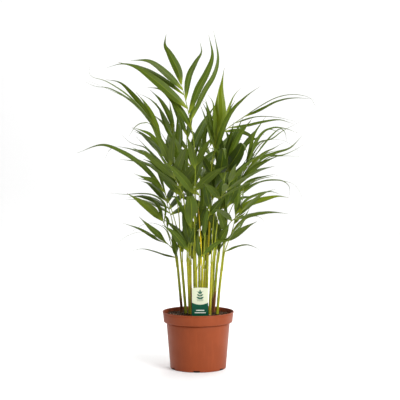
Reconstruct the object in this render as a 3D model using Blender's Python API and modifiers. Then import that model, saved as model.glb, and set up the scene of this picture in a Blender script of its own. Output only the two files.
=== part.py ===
"""A young clump palm in a 17 cm plastic nursery pot, with soil and a plain plant label.

World axes are metres with +Z up. The pot stands on z = 0 with its axis on Z, and the label
faces -Y. Every frond (petiole, rachis and leaflets) is one grown body.
"""

import math
import random

import bmesh
import bpy
from mathutils import Matrix, Vector
from mathutils.bvhtree import BVHTree

# ---------------------------------------------------------------- driving sizes, in metres
POT_HEIGHT = 0.139
POT_RIM_RADIUS = 0.0865
POT_LIP_DROP = 0.0032  # how much the lip narrows from its top edge to its lower edge
POT_LIP_HEIGHT = 0.0258
POT_BODY_STEP = 0.0066  # from the lip's lower edge in to the body
POT_TAPER = 0.0089  # how much the body narrows from the lip to the foot
POT_WALL = 0.0016
POT_FLOOR = 0.0020
POT_FOOT_CHAMFER = 0.0030
DRAIN_COUNT = 6
DRAIN_WIDTH = 0.016
DRAIN_HEIGHT = 0.0045
DRAIN_DEPTH = 0.011  # how far each notch reaches in under the floor's edge
DRAIN_TURN = -93.0  # degrees, the direction of the first notch
SOIL_DROP = 0.0105  # from the rim down to the soil
SOIL_MOUND = 0.004  # how far the soil rises at the middle
SHOOT_DEPTH = 0.022  # how deep the shoots stand in the soil
SHOOT_RADIUS = 0.0032
SHOOT_TOP_RADIUS = 0.0033
PETIOLE_RADIUS = 0.0013
RACHIS_TIP_RADIUS = 0.0008
LEAFLET_THICKNESS = 0.0010
LABEL_WIDTH = 0.0390
LABEL_SHOWN = 0.0746
LABEL_DEPTH = 0.024
LABEL_THICKNESS = 0.0012
LABEL_Y = -0.0560
LABEL_X = 0.0047
PLANT_TOP = 0.8166  # tip of the tallest leaflet above the ground
PLANT_SPREAD = 0.570  # tip to tip, left to right
CLEARANCE = 0.0003  # gap left between pieces that touch
LEAF_CLEARANCE = 0.0009  # least room the growing leaflets keep from each other

# The growth table below is in centimetres, for a plant with these sizes.
TABLE_TOP = 0.812
TABLE_SPREAD = 0.570
TABLE_SOIL = 0.127
CM = 0.01

# ---------------------------------------------------------------- colours
COLOURS = {
    "pot": ((0.400, 0.105, 0.042), 0.45),
    "potting_soil": ((0.030, 0.020, 0.013), 0.95),
    "plant_label": ((0.760, 0.800, 0.690), 0.35),
    "shoot": ((0.270, 0.270, 0.030), 0.45),
    "frond": ((0.065, 0.130, 0.012), 0.38),
    "spear": ((0.520, 0.400, 0.020), 0.45),
}

# ---------------------------------------------------------------- shoots
# Where each shoot leaves the soil (x, y) and where its mouth is (x, y, z), in centimetres.
SHOOTS = (
    (-4.0, 2.4, -5.0, 3.2, 24.0),
    (-3.0, 0.6, -4.0, 0.8, 25.5),
    (-2.0, -1.2, -2.5, -2.4, 26.0),
    (-1.8, 2.0, -1.9, 2.8, 24.5),
    (-0.8, -0.6, -1.0, -1.0, 27.0),
    (-0.5, 3.6, -0.7, 4.8, 23.0),
    (0.3, 1.2, 0.3, 1.4, 24.5),
    (0.9, -2.2, 1.0, -3.2, 25.0),
    (1.4, 3.0, 1.7, 4.0, 23.4),
    (2.0, 0.4, 2.3, 0.4, 27.5),
    (2.8, -2.0, 3.3, -2.8, 25.5),
    (3.2, 1.4, 4.0, 1.7, 27.0),
    (3.8, 3.2, 4.7, 4.6, 25.0),
    (4.6, -0.6, 5.6, -0.9, 23.5),
    (-0.3, -3.0, -0.5, -4.2, 24.0),
)

# ---------------------------------------------------------------- fronds
# Each frond: name, shoot number, points of its rachis after the mouth (x, y, z), leaflets.
# Each leaflet: y of its tip, width, roll in degrees (0 faces the front), then the x, z points
# it passes through; the first point picks the place on the rachis where it grows.
# All lengths in centimetres.
FRONDS = (
    ("tall", 4, ((-0.6, -1.5, 40), (-0.9, -2, 53), (-2.4, -2, 62), (-4.0, -2, 68.2)), (
        (-2, 2.0, 0, -3.9, 68, -4.8, 71.5, -6.8, 75.5, -7.9, 77.5, -7.6, 80.2),
        (-5, 1.7, 20, -4.0, 67.6, -7.5, 70.8, -11.5, 73.6, -16, 73.8),
        (1, 1.2, 30, -3.6, 66.3, -8.5, 69.6, -13, 72, -18, 73.2, -22, 72.3),
        (-4, 2.1, 0, -2.5, 62.8, -6, 65.6, -10, 69, -14.5, 72.1, -19, 73.4),
        (2, 1.5, 10, -3.3, 65.3, -2.2, 70, -0.6, 73.5, 0.8, 76, 0.4, 78.6),
        (-4, 1.8, 10, -2.2, 62, 0, 67, 2.1, 71, 3.4, 75, 2.5, 79.8),
        (2, 1.3, 20, -1.7, 59.5, 1.4, 66.3, 3.9, 70.6, 4.8, 75, 3.7, 81.2),
        (0, 1.6, 15, -1.4, 57.5, -4.5, 62.5, -8.5, 66.8, -12.2, 67.6),
    )),
    ("left_high", 1, ((-4.8, 2, 38), (-6.6, 3, 48), (-8.4, 3, 54), (-10.6, 3, 58.8)), (
        (6, 1.3, 10, -10.4, 58.4, -13, 62.4, -16, 66, -19, 68.8, -22.5, 69.6),
        (2, 0.8, 60, -10.2, 57.8, -13.8, 62.6, -17.5, 66.2, -22, 69, -25, 69.9, -26.1, 70.8, -26, 72.6),
        (9, 0.9, 50, -10.4, 58.2, -14, 62.5, -18, 65.6, -22, 67.6, -25.2, 68.0, -27.8, 69),
        (0, 0.8, 60, -9.6, 56.8, -13, 61, -17, 64.8, -21, 66.9, -26, 69),
        (10, 1.1, 30, -9.8, 57.3, -11.6, 60.8, -13.2, 64, -15.4, 66.6),
        (-3, 1.1, 30, -9.2, 56, -10.5, 60, -12.4, 63.5, -14.8, 66.3),
        (0, 0.9, 45, -8.9, 55.4, -11.2, 58.4, -13.2, 59.1, -15, 58.2, -16.4, 56),
        (-2, 1.4, 20, -8.0, 53.2, -11, 55.9, -13.5, 57.3, -15.6, 58),
    )),
    ("left_back", 3, ((-3.2, 4, 38), (-4.6, 6, 48), (-5.8, 7, 54), (-6.3, 8, 58)), (
        (9, 1.4, 10, -5.9, 54.5, -7.6, 58, -9, 61.3, -10.4, 64),
        (12, 1.3, 20, -6.3, 57.5, -7.2, 61, -9.3, 64.6, -12.2, 67.4),
        (12, 0.8, 45, -6.2, 57, -8.8, 61.5, -11.5, 64.6, -14.9, 66.4),
        (9, 1.3, 25, -6.2, 57.8, -6.7, 61, -7.2, 64.5),
        (6, 1.2, 10, -5.6, 53, -5.0, 57, -5.2, 61.3),
        (8, 1.0, 30, -5.0, 50.5, -4.2, 55, -4.6, 59.5, -6, 62.6),
    )),
    ("middle_high", 9, ((3.0, 0.5, 38), (3.2, 1, 48), (4.6, 1, 56.5)), (
        (1, 1.7, 5, 4.6, 56.4, 5.9, 61, 5.6, 67, 6.3, 72.3),
        (3, 1.5, 15, 4.5, 56, 4.5, 61.5, 4.9, 66, 5.3, 68.4),
        (-2, 1.1, 30, 4.3, 55, 3.9, 61.5, 3.5, 64, 2.4, 65.7),
        (5, 1.1, 30, 4.0, 54, 2.9, 60.8, 2.0, 63.7, 1.0, 64.5),
        (1, 0.9, 35, 3.8, 53, 1.8, 60, 0.4, 63.7),
        (5, 1.0, 30, 4.6, 56.2, 7.6, 63, 9, 66, 10.8, 67.8),
        (-3, 1.7, 10, 4.4, 55.2, 7.2, 60.5, 11, 65, 14.8, 67.8),
    )),
    ("right_high", 5, ((-1.6, 4, 40), (-1.0, 4, 48), (2.0, 4.0, 52.4), (6, 4, 56.8), (11.5, 2, 60.9)), (
        (-4, 0.9, 55, 11, 60.7, 15, 62.2, 19, 64.2, 23, 65, 27.6, 64.7),
        (4, 0.7, 70, 10.4, 60.4, 15, 63, 19, 65.1, 23, 65.9, 27, 65.2, 28.5, 63.2),
        (0, 0.6, 70, 9.6, 59.9, 14, 60.5, 19, 60.4, 23.6, 59.4),
        (8, 0.9, 40, 7.5, 58, 12, 58.4, 16, 59.3, 20, 59.8, 23.5, 58.8),
        (8, 1.3, 20, 3.0, 53.4, 3.4, 57, 2.6, 61, 1.0, 64.2),
        (9, 1.2, 20, 1.6, 52, 1.6, 56, 3.2, 60, 6.0, 63),
        (9, 1.2, 30, 6.5, 57.2, 10, 57, 13.4, 55.5, 15.5, 53),
    )),
    ("right_front", 10, ((4.3, -4, 33), (5.1, -5, 39), (6.1, -6, 45), (7.1, -6.5, 50)), (
        (-5, 1.6, 10, 6.6, 47, 7.9, 54, 10.6, 60.4),
        (-8, 1.5, 10, 7.0, 49.3, 9.4, 55.5, 12.7, 60.2),
        (-17, 3.1, 0, 6.8, 47.8, 9.2, 52, 10.3, 54.3, 11.2, 52.3),
        (-14, 1.6, 20, 6.2, 45.6, 6.0, 49, 4.6, 52.5, 2.4, 53.5),
    )),
    ("right_arm", 11, ((5.2, 1.5, 34), (7.6, 1.5, 40), (10.0, 1, 45.5), (13, 1, 50)), (
        (-3, 1.0, 20, 11.4, 47.6, 12.4, 52, 13.4, 56.3, 16.2, 60.7),
        (4, 1.0, 30, 12.2, 48.8, 13.5, 53.5, 16.5, 57.4, 19.9, 56.8),
        (6, 0.8, 45, 12.4, 49.2, 15, 55.6, 18, 57.8, 21.3, 57.7, 24.6, 56.6),
        (8, 0.7, 50, 12.6, 49.4, 16.5, 54.4, 19.8, 57.5, 21.3, 56.8, 21.8, 54.6),
        (-2, 0.7, 55, 11.8, 48.4, 14, 53.8, 17.5, 55.3, 20, 57.2, 23.6, 59.2),
        (2, 0.8, 50, 12.8, 49.8, 15, 53.8, 19, 55, 22, 54.3, 24.8, 52.2),
        (-4, 1.3, 15, 12.2, 49.2, 15, 51.2, 18, 53.1, 20.2, 54.5),
        (0, 0.9, 40, 12.9, 49.9, 16, 51, 19, 52, 22.3, 53.2, 25.2, 56.2),
        (3, 0.8, 45, 12.5, 49.4, 16, 50.7, 20, 51.2, 23, 52.3, 25.6, 53.8),
        (-6, 1.4, 20, 10.3, 46, 13, 47.9, 16, 50, 19.6, 51.6),
        (5, 0.6, 60, 12, 48.6, 16, 50, 20, 51, 24.8, 50.9),
    )),
    ("right_middle", 12, ((6.0, 4, 32), (8.0, 4, 38), (10.4, 3, 42.4)), (
        (0, 0.9, 40, 10.3, 42.4, 13, 45.2, 16, 46.2, 18.6, 46.8),
        (-3, 0.8, 50, 10.4, 42.2, 14, 44.5, 18, 45.3, 21.6, 45, 23.6, 43.8, 24.6, 41.6),
        (6, 0.6, 60, 10.2, 42.2, 14, 44.9, 19.6, 46.3),
        (9, 0.7, 50, 9.8, 41.6, 15, 44.5, 20, 45, 22.4, 43.6, 22.7, 41.2),
        (9, 1.0, 30, 9.2, 40.4, 11.5, 44, 14.2, 45.5, 14.4, 44.2),
        (8, 1.2, 20, 9.6, 41.2, 10.2, 46, 12.6, 50, 15.6, 52.4),
    )),
    ("right_low", 13, ((6.4, -1.2, 28), (8.1, -1.5, 33), (9.2, -1.5, 37.6)), (
        (-4, 1.5, 10, 9.1, 37.5, 12, 39.7, 16, 41, 19, 41.7, 21.6, 41.4),
        (2, 0.9, 35, 9.0, 37.3, 11.5, 40.4, 14.5, 41.9, 17.6, 42.5, 20, 41.8),
        (-6, 0.8, 30, 9.0, 37, 12, 39, 14, 40.8, 16, 42),
        (-3, 0.9, 30, 8.6, 34.9, 9.6, 36.2, 11.6, 37.9),
        (4, 0.8, 35, 8.0, 32.6, 10.2, 34.9, 11.8, 37, 12.8, 39),
        (-6, 0.7, 45, 8.2, 33.2, 10.6, 35.8, 13.2, 37, 15, 36.6, 15.7, 35.6),
        (7, 0.7, 45, 7.8, 32, 10, 33.6, 11.4, 35.4, 13.4, 36.5),
        (-4, 0.7, 50, 6.3, 27.8, 9, 29.4, 11.5, 30, 13.4, 29.6, 15.3, 28.5),
        (5, 1.6, 10, 8.8, 36, 9.6, 40, 9.8, 43.5, 11.4, 46.8),
    )),
    ("left_arm", 1, ((-5.0, -1, 33), (-6.6, -2, 39), (-8.8, -3, 44.2)), (
        (-3, 1.2, 25, -8.7, 44.1, -11, 46.8, -14, 49.6, -18, 52.2, -23, 53.9, -28.8, 52),
        (2, 0.9, 30, -8.6, 43.8, -12, 47.4, -16, 51, -20, 52.9, -21.4, 52.6, -22.6, 50.6),
        (-5, 1.1, 15, -8.6, 43.7, -10.5, 45.4, -13, 46.3, -15.1, 47.2),
        (0, 0.8, 30, -8.3, 43.2, -11, 45, -14.4, 45.8),
        (6, 1.0, 30, -8.7, 43.9, -10, 49, -12.6, 52, -15.4, 52.6, -18.4, 53),
        (6, 0.8, 35, -8.4, 43.4, -9.8, 49, -12.5, 52.8, -16.5, 54.1, -19, 56),
    )),
    ("left_inner", 3, ((-3.4, 0, 34), (-4.6, -3, 40), (-5.4, -4, 44.6)), (
        (-6, 2.4, 0, -4.9, 42, -7.2, 45.8, -9.6, 49, -12.9, 50.6),
        (-2, 0.8, 35, -5.2, 43.6, -8, 48.6, -11, 51.8, -14.9, 55.8),
        (-7, 0.8, 35, -5.4, 44.4, -7.4, 49, -9.6, 52.3, -11.8, 55.4),
        (-3, 1.5, 15, -5.4, 44.5, -6.0, 49, -7.4, 54, -9.4, 57.5),
        (-10, 1.7, 10, -5.0, 42.5, -3.8, 47, -4.4, 51, -6.2, 54.8),
        (-9, 1.3, 20, -5.3, 44.2, -3.8, 49, -2.4, 52.4, -0.9, 57),
    )),
    ("left_low", 0, ((-5.9, 2.5, 28.6), (-7.2, 2, 32.4), (-8.7, 2, 35.6)), (
        (0, 2.0, 0, -8.6, 35.5, -11, 37.9, -14, 40.2, -17.2, 42.2),
        (4, 1.2, 15, -8.5, 35.4, -9.4, 38.4, -11.4, 40.7, -14.4, 41.6),
        (7, 0.7, 60, -8.4, 35, -8.0, 39, -10.5, 41.4, -14, 41.9, -18, 41.6, -21.6, 41.9),
        (-3, 1.0, 30, -7.6, 33.2, -7.2, 35, -7.6, 36.5, -8.4, 37.6),
    )),
    ("left_foot", 0, ((-6.2, 0.5, 27.4), (-7.8, -1, 30)), (
        (-3, 1.5, 5, -7.6, 29.8, -9.4, 32.2, -11.4, 34, -14.2, 36.8),
        (1, 0.9, 30, -7.7, 29.9, -10, 31.2, -13, 33, -15, 33.9, -18.2, 34.9),
        (-6, 0.6, 50, -7.4, 29.5, -11, 32.7, -14, 33.6, -17, 32.7, -19, 31.1),
        (6, 0.7, 45, -6.9, 28.5, -7.6, 32.8, -10, 34.4, -13, 34.4, -16.2, 32.4),
        (-5, 1.6, 10, -5.6, 26, -5.5, 29, -6.4, 33.2),
        (5, 0.6, 60, -5.5, 25.6, -8, 26.8, -11, 27.6, -14, 28, -17.2, 27.2),
    )),
    ("front_left", 2, ((-1.7, -3.6, 30), (-1.6, -5.2, 35)), (
        (-15, 3.3, 0, -1.7, 34.6, -1.5, 38.6, -1.9, 42.2, -2.4, 39.8),
        (-9, 1.9, 10, -2.2, 34.2, -4.0, 39.4, -5.6, 41.8, -7.8, 40.6),
        (-7, 2.0, 5, -2.3, 30, -2.8, 34.4, -4.0, 39.2),
        (-7, 1.6, 10, -2.4, 29, -4.2, 32.6, -6.4, 34.8, -8.6, 36.4),
    )),
    ("front_low", 4, ((-0.9, -1.8, 31), (-0.4, -3, 36)), (
        (-5, 1.5, 0, -0.9, 28, -1.5, 30.4, -0.6, 34.4),
        (-5, 1.4, 5, -0.6, 33, 0.8, 36, 2.0, 40.2),
        (-4, 1.8, 0, -0.4, 35.6, -1.8, 40, -2.0, 45, -1.2, 49.6),
        (-1, 1.9, 5, -0.5, 35, 1.2, 39.4, 1.0, 44, 0.4, 47.6),
    )),
    ("front_middle", 7, ((1.7, -4.4, 33), (3.0, -5.6, 39), (4.4, -6.6, 44.5)), (
        (-14, 2.9, 0, 4.4, 44.4, 5.4, 49, 5.9, 53.3, 6.3, 51),
        (-11, 2.3, 0, 4.0, 43, 3.2, 45, 2.4, 47.6, 2.2, 45),
        (-11, 2.4, 0, 4.2, 43.6, 5.0, 45.5, 5.4, 47.6, 5.8, 45),
        (-8, 1.4, 0, 1.5, 32, 1.7, 36, 2.6, 40.4),
        (-10, 1.8, 10, 2.8, 38.4, 2.2, 42, 1.7, 44.6, 2.4, 47.6),
        (-7, 1.8, 10, 2.6, 37.4, 5.0, 40.4, 6.8, 42.4),
    )),
    ("centre", 4, ((-1.4, 0.5, 36), (-2.4, 1, 46)), (
        (0, 2.2, 5, -2.3, 45, -4.2, 49.5, -5.4, 54, -8.0, 59),
        (-1, 2.2, 0, -2.4, 45.8, -2.6, 50, -2.8, 56.4),
        (-3, 2.2, 5, -2.3, 45.4, -0.6, 52.4, 1.6, 57.6, 3.8, 62),
        (4, 1.8, 10, -2.0, 42.6, -0.2, 47, 0.6, 51.6, 0.2, 56),
        (3, 1.7, 10, -1.9, 41.6, -3.6, 44.6, -4.2, 49.6),
    )),
    ("right_inner", 11, ((5.0, 0.5, 33), (7.0, -0.5, 39)), (
        (-2, 2.2, 0, 6.9, 38.8, 8.6, 42.6, 9.6, 46.6, 11.6, 50.6),
        (-4, 1.7, 10, 6.8, 38.4, 7.4, 41.8, 8.4, 45.8, 8.6, 49),
        (2, 2.0, 10, 6.6, 37.8, 5.8, 42, 6.8, 46.8, 8.6, 50),
        (-2, 1.8, 10, 5.2, 33.4, 6.2, 36.4, 7.0, 40),
        (4, 1.9, 0, 4.8, 31.8, 3.8, 35.4, 3.6, 39.6),
    )),
    ("right_foot", 10, ((4.0, -3.2, 28.5), (5.0, -3.6, 31)), (
        (-6, 1.3, 10, 3.8, 28, 4.4, 30.2, 6.6, 31.4),
        (-5, 1.9, 0, 4.9, 30.6, 6.0, 32.6, 7.6, 35.6),
        (-3, 1.6, 10, 4.8, 30.2, 4.0, 33.4, 4.2, 37.6),
        (-6, 1.3, 15, 5.0, 31, 7.4, 32, 9.2, 35, 11.2, 38.2),
    )),
    ("back_foot", 6, ((0.2, 2.5, 28), (0.4, 3.4, 31)), (
        (5, 2.0, 0, 0.4, 30.8, 2.2, 33.8, 3.2, 38.6),
        (5, 2.0, 0, 0.3, 30, -1.6, 34, -3.2, 39),
        (4, 1.9, 0, 0.4, 30.9, 0.6, 35.6, 0.2, 41),
    )),
    ("low_left", 2, ((-2.3, -3.6, 28.2), (-2.0, -4.6, 31.0)), (
        (-6, 1.7, 10, -2.3, 28.6, -4.2, 31.0, -6.2, 33.4, -8.6, 35.2),
        (-6, 1.3, 10, -2.1, 30.2, -1.5, 32.4, -0.8, 35.4),
    )),
    ("low_right", 14, ((0.5, -5.4, 26.2), (1.2, -6.0, 27.8)), (
        (-8, 1.2, 25, 1.1, 27.6, 3.2, 29.8, 5.4, 31.2, 8.0, 31.6),
        (-7, 1.3, 10, 0.7, 26.8, 0.0, 29.8, -0.2, 33.4),
    )),
    ("low_back_left", 5, ((-0.9, 5.2, 25.0), (-1.2, 5.6, 27.0)), (
        (7, 1.9, 0, -0.9, 25.2, -1.8, 28.4, -2.6, 33),
        (6, 1.8, 0, -1.2, 26.9, -1.0, 30.4, -0.2, 35),
        (7, 1.7, 10, -1.0, 26.0, 0.2, 28.8, 0.8, 32.6),
    )),
    ("low_back_right", 8, ((1.9, 4.6, 25.2), (2.3, 5.0, 27.2)), (
        (6, 1.9, 0, 1.9, 25.4, 1.4, 29, 1.2, 33),
        (6, 1.8, 0, 2.3, 27.1, 2.6, 30.8, 3.4, 34.8),
        (7, 1.7, 5, 2.1, 26.2, 3.4, 28.8, 5.0, 32),
    )),
    ("low_right_back", 12, ((5.0, 4.0, 27.2), (5.4, 3.8, 29.2)), (
        (5, 1.9, 5, 5.2, 28, 4.4, 31.6, 4.6, 35.8),
        (4, 1.8, 0, 5.4, 29.1, 6.4, 32.4, 7.2, 36.6),
        (5, 1.5, 10, 5.1, 27.6, 6.8, 30.4, 9.4, 33.2),
    )),
    ("low_left_back", 1, ((-3.9, 1.6, 27.6), (-3.6, 2.2, 29.6)), (
        (3, 1.8, 0, -3.9, 27.9, -4.4, 31, -5.4, 34.6),
        (2, 1.8, 5, -3.6, 29.5, -3.2, 33, -3.4, 37.4),
        (3, 1.6, 5, -3.8, 28.6, -2.4, 31.2, -1.8, 34.6),
    )),
)

# ---------------------------------------------------------------- fronds grown by rule
# Name, shoot, tip of the rachis (x, y, z), number of leaflet pairs, leaflet length and width,
# angle between leaflet and rachis at the foot and at the tip, droop. Centimetres and degrees.
RULE_FRONDS = (
    ("back_1", 5, (-3.0, 15, 57), 3, 17, 1.7, 52, 18, 0.10),
    ("back_2", 8, (4.0, 16, 55), 3, 17, 1.7, 52, 18, 0.10),
    ("back_3", 12, (9.5, 14, 50), 3, 16, 1.6, 50, 20, 0.14),
    ("back_4", 3, (-8.5, 14, 51), 3, 16, 1.6, 50, 20, 0.14),
    ("back_5", 6, (0.5, 11, 46), 3, 15, 1.9, 50, 20, 0.12),
    ("back_6", 8, (3.5, 12, 41), 2, 14, 1.9, 50, 24, 0.18),
    ("back_7", 0, (-8.0, 12, 40), 3, 14, 1.6, 50, 22, 0.20),
    ("front_1", 2, (-6.6, -10, 50), 3, 14, 1.9, 42, 16, 0.10),
    ("front_2", 14, (-0.6, -12, 50), 2, 14, 2.1, 36, 16, 0.12),
    ("front_3", 10, (7.6, -12, 46), 3, 14, 1.8, 42, 16, 0.12),
    ("front_5", 13, (10.5, -9, 39), 2, 13, 1.6, 44, 20, 0.16),
    ("middle_1", 11, (6.4, 4, 49), 3, 14, 1.8, 40, 16, 0.06),
    ("middle_5", 13, (6.8, -4, 33), 2, 11, 1.9, 36, 18, 0.08),
)

# Name, shoot, tip (x, y, z) in centimetres.
SPEARS = (
    ("spear_low", 6, (0.6, 1.3, 31.5)),
    ("spear_middle", 7, (0.1, -4.6, 39.0)),
    ("spear_high", 9, (2.9, -1.2, 42.0)),
)

WORLD_UP = Vector((0.0, 0.0, 1.0))
TO_FRONT = Vector((0.0, -1.0, 0.0))


# ---------------------------------------------------------------- scene helpers
def clear_scene():
    for obj in list(bpy.data.objects):
        bpy.data.objects.remove(obj)


def own_material(name, kind):
    colour, roughness = COLOURS[kind]
    material = bpy.data.materials.new(name)
    material.use_nodes = True
    shader = material.node_tree.nodes["Principled BSDF"]
    shader.inputs["Base Color"].default_value = (*colour, 1.0)
    shader.inputs["Roughness"].default_value = roughness
    shader.inputs["Metallic"].default_value = 0.0
    return material


def add_object(name, mesh, kind, collection):
    obj = bpy.data.objects.new(name, mesh)
    collection.objects.link(obj)
    obj.data.materials.append(own_material(name, kind))
    return obj


def mesh_from(bm, name):
    mesh = bpy.data.meshes.new(name)
    bm.to_mesh(mesh)
    bm.free()
    return mesh


def smooth_round(obj, degrees):
    for polygon in obj.data.polygons:
        polygon.use_smooth = True
    obj.data.set_sharp_from_angle(angle=math.radians(degrees))


def turned_profile(name, profile, steps, collection, kind):
    """A solid of revolution: the profile runs top to bottom down its outer side, then back."""
    mesh = bpy.data.meshes.new(name)
    points = [(radius, 0.0, height) for radius, height in profile]
    edges = [(i, i + 1) for i in range(len(points) - 1)]
    mesh.from_pydata(points, edges, [])
    obj = add_object(name, mesh, kind, collection)
    screw = obj.modifiers.new("turn", "SCREW")
    screw.axis = "Z"
    screw.steps = steps
    screw.render_steps = steps
    screw.use_merge_vertices = True
    screw.merge_threshold = 0.00005
    screw.use_smooth_shade = True
    return obj


def cut_away(obj, cutter):
    cut = obj.modifiers.new("cut_" + cutter.name, "BOOLEAN")
    cut.operation = "DIFFERENCE"
    cut.solver = "EXACT"
    cut.object = cutter


def hidden_cutter(name, mesh, collection):
    obj = bpy.data.objects.new(name, mesh)
    collection.objects.link(obj)
    obj.display_type = "WIRE"
    obj.hide_render = True
    return obj


# ---------------------------------------------------------------- places
def table_point(x, y, z):
    """A point of the growth table, in metres, stretched to the plant's driving sizes."""
    side = CM * PLANT_SPREAD / TABLE_SPREAD
    rise = (PLANT_TOP - SOIL_LEVEL) / (TABLE_TOP - TABLE_SOIL)
    return Vector((x * side, y * side, SOIL_LEVEL + (z * CM - TABLE_SOIL) * rise))


SOIL_LEVEL = POT_HEIGHT - SOIL_DROP


def body_radius(height):
    """Outer radius of the pot's body at a height below the lip."""
    top = POT_RIM_RADIUS - POT_LIP_DROP - POT_BODY_STEP
    share = height / (POT_HEIGHT - POT_LIP_HEIGHT)
    return top - POT_TAPER * (1.0 - share)


def smooth_path(points, count):
    """count + 1 evenly spaced points along a smooth curve through the given points."""
    fine = []
    padded = [points[0] * 2 - points[1], *points, points[-1] * 2 - points[-2]]
    for a, b, c, d in zip(padded, padded[1:], padded[2:], padded[3:]):
        for i in range(12):
            t = i / 12
            fine.append(
                0.5 * ((2 * b) + (c - a) * t + (2 * a - 5 * b + 4 * c - d) * t**2
                       + (3 * b - a - 3 * c + d) * t**3)
            )
    fine.append(points[-1].copy())
    reach = [0.0]
    for a, b in zip(fine, fine[1:]):
        reach.append(reach[-1] + (b - a).length)
    path = []
    seg = 0
    for i in range(count + 1):
        want = reach[-1] * i / count
        while seg < len(reach) - 2 and reach[seg + 1] < want:
            seg += 1
        span = max(reach[seg + 1] - reach[seg], 1e-9)
        path.append(fine[seg].lerp(fine[seg + 1], (want - reach[seg]) / span))
    return path


def tangents_of(path):
    result = []
    for i in range(len(path)):
        low = path[max(i - 1, 0)]
        high = path[min(i + 1, len(path) - 1)]
        result.append((high - low).normalized())
    return result


def across(direction, hint):
    """The part of hint that is square to direction, at length 1."""
    flat = hint - direction * hint.dot(direction)
    if flat.length < 1e-4:
        flat = direction.orthogonal()
    return flat.normalized()


# ---------------------------------------------------------------- what has grown so far
class Thicket:
    """Surfaces already placed, kept so that nothing new grows through them."""

    def __init__(self):
        self.kept = []

    def add(self, points, faces):
        tree = BVHTree.FromPolygons(points, faces)
        low = [min(p[i] for p in points) for i in range(3)]
        high = [max(p[i] for p in points) for i in range(3)]
        self.kept.append((low, high, tree))

    def meets(self, points, faces):
        low = [min(p[i] for p in points) for i in range(3)]
        high = [max(p[i] for p in points) for i in range(3)]
        tree = None
        for other_low, other_high, other in self.kept:
            if any(low[i] > other_high[i] or high[i] < other_low[i] for i in range(3)):
                continue
            tree = tree or BVHTree.FromPolygons(points, faces)
            if tree.overlap(other):
                return True
        return False


def sleeve(rings):
    """A closed skin over rings of points, as points and triangles, each wall split both ways."""
    points = [p for ring in rings for p in ring]
    faces = []
    sides = len(rings[0])
    for i in range(len(rings) - 1):
        for j in range(sides):
            k = (j + 1) % sides
            a, b = i * sides + j, i * sides + k
            c, d = b + sides, a + sides
            faces += [(a, b, c), (a, c, d), (a, b, d), (b, c, d)]
    last = (len(rings) - 1) * sides
    for j in range(1, sides - 1):
        faces.append((0, j + 1, j))
        faces.append((last, last + j, last + j + 1))
    return points, faces


def round_ring(centre, direction, hint, radius, sides):
    u = across(direction, hint)
    v = direction.cross(u)
    ring = []
    for i in range(sides):
        angle = 2 * math.pi * (i + 0.5) / sides
        ring.append(centre + u * (radius * math.cos(angle)) + v * (radius * math.sin(angle)))
    return ring


def tube_rings(path, radii, sides, hint=TO_FRONT):
    directions = tangents_of(path)
    return [round_ring(p, d, hint, r, sides) for p, d, r in zip(path, directions, radii)]


def blade_ring(centre, wide, thin, width, thickness):
    w = wide * (width / 2)
    t = thin * (thickness / 2)
    return [centre + w + t, centre - w + t, centre - w - t, centre + w - t]


# ---------------------------------------------------------------- drawing by extrusion
def first_face(bm, ring):
    return bm.faces.new([bm.verts.new(p) for p in ring])


def draw_out(bm, face, ring):
    """Extrudes a face to the four given corners. Returns the new end and the faces round it."""
    end = bmesh.ops.extrude_discrete_faces(bm, faces=[face])["faces"][0]
    for vert, place in zip(end.verts, ring):
        vert.co = place
    sides = [f for edge in end.edges for f in edge.link_faces if f is not end]
    return end, sides


def best_turn(corners, ring):
    """The same ring, started at the corner that twists the first step least."""
    count = len(ring)
    turns = []
    for k in range(count):
        turned = [ring[(i + k) % count] for i in range(count)]
        turns.append((sum((a - b).length for a, b in zip(corners, turned)), k, turned))
    turns.sort(key=lambda item: item[:2])
    return turns[0][2]


def close_up(bm, ring):
    """Puts the starting cap on the open foot of a drawn body."""
    return bm.faces.new(ring)


# ---------------------------------------------------------------- leaflets
# Share of the full width along a leaflet, at even steps from foot to tip.
BLADE_WIDTHS = (0.30, 0.66, 0.90, 1.0, 0.98, 0.90, 0.78, 0.62, 0.44, 0.24, 0.07)
BLADE_FOOT_WIDTH = 0.0040
BLADE_FOOT_GAP = 0.0050


def blade_share(part):
    """Share of the full width at a part of the way along a leaflet."""
    place = part * (len(BLADE_WIDTHS) - 1)
    low = min(int(place), len(BLADE_WIDTHS) - 2)
    return BLADE_WIDTHS[low] + (BLADE_WIDTHS[low + 1] - BLADE_WIDTHS[low]) * (place - low)


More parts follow.
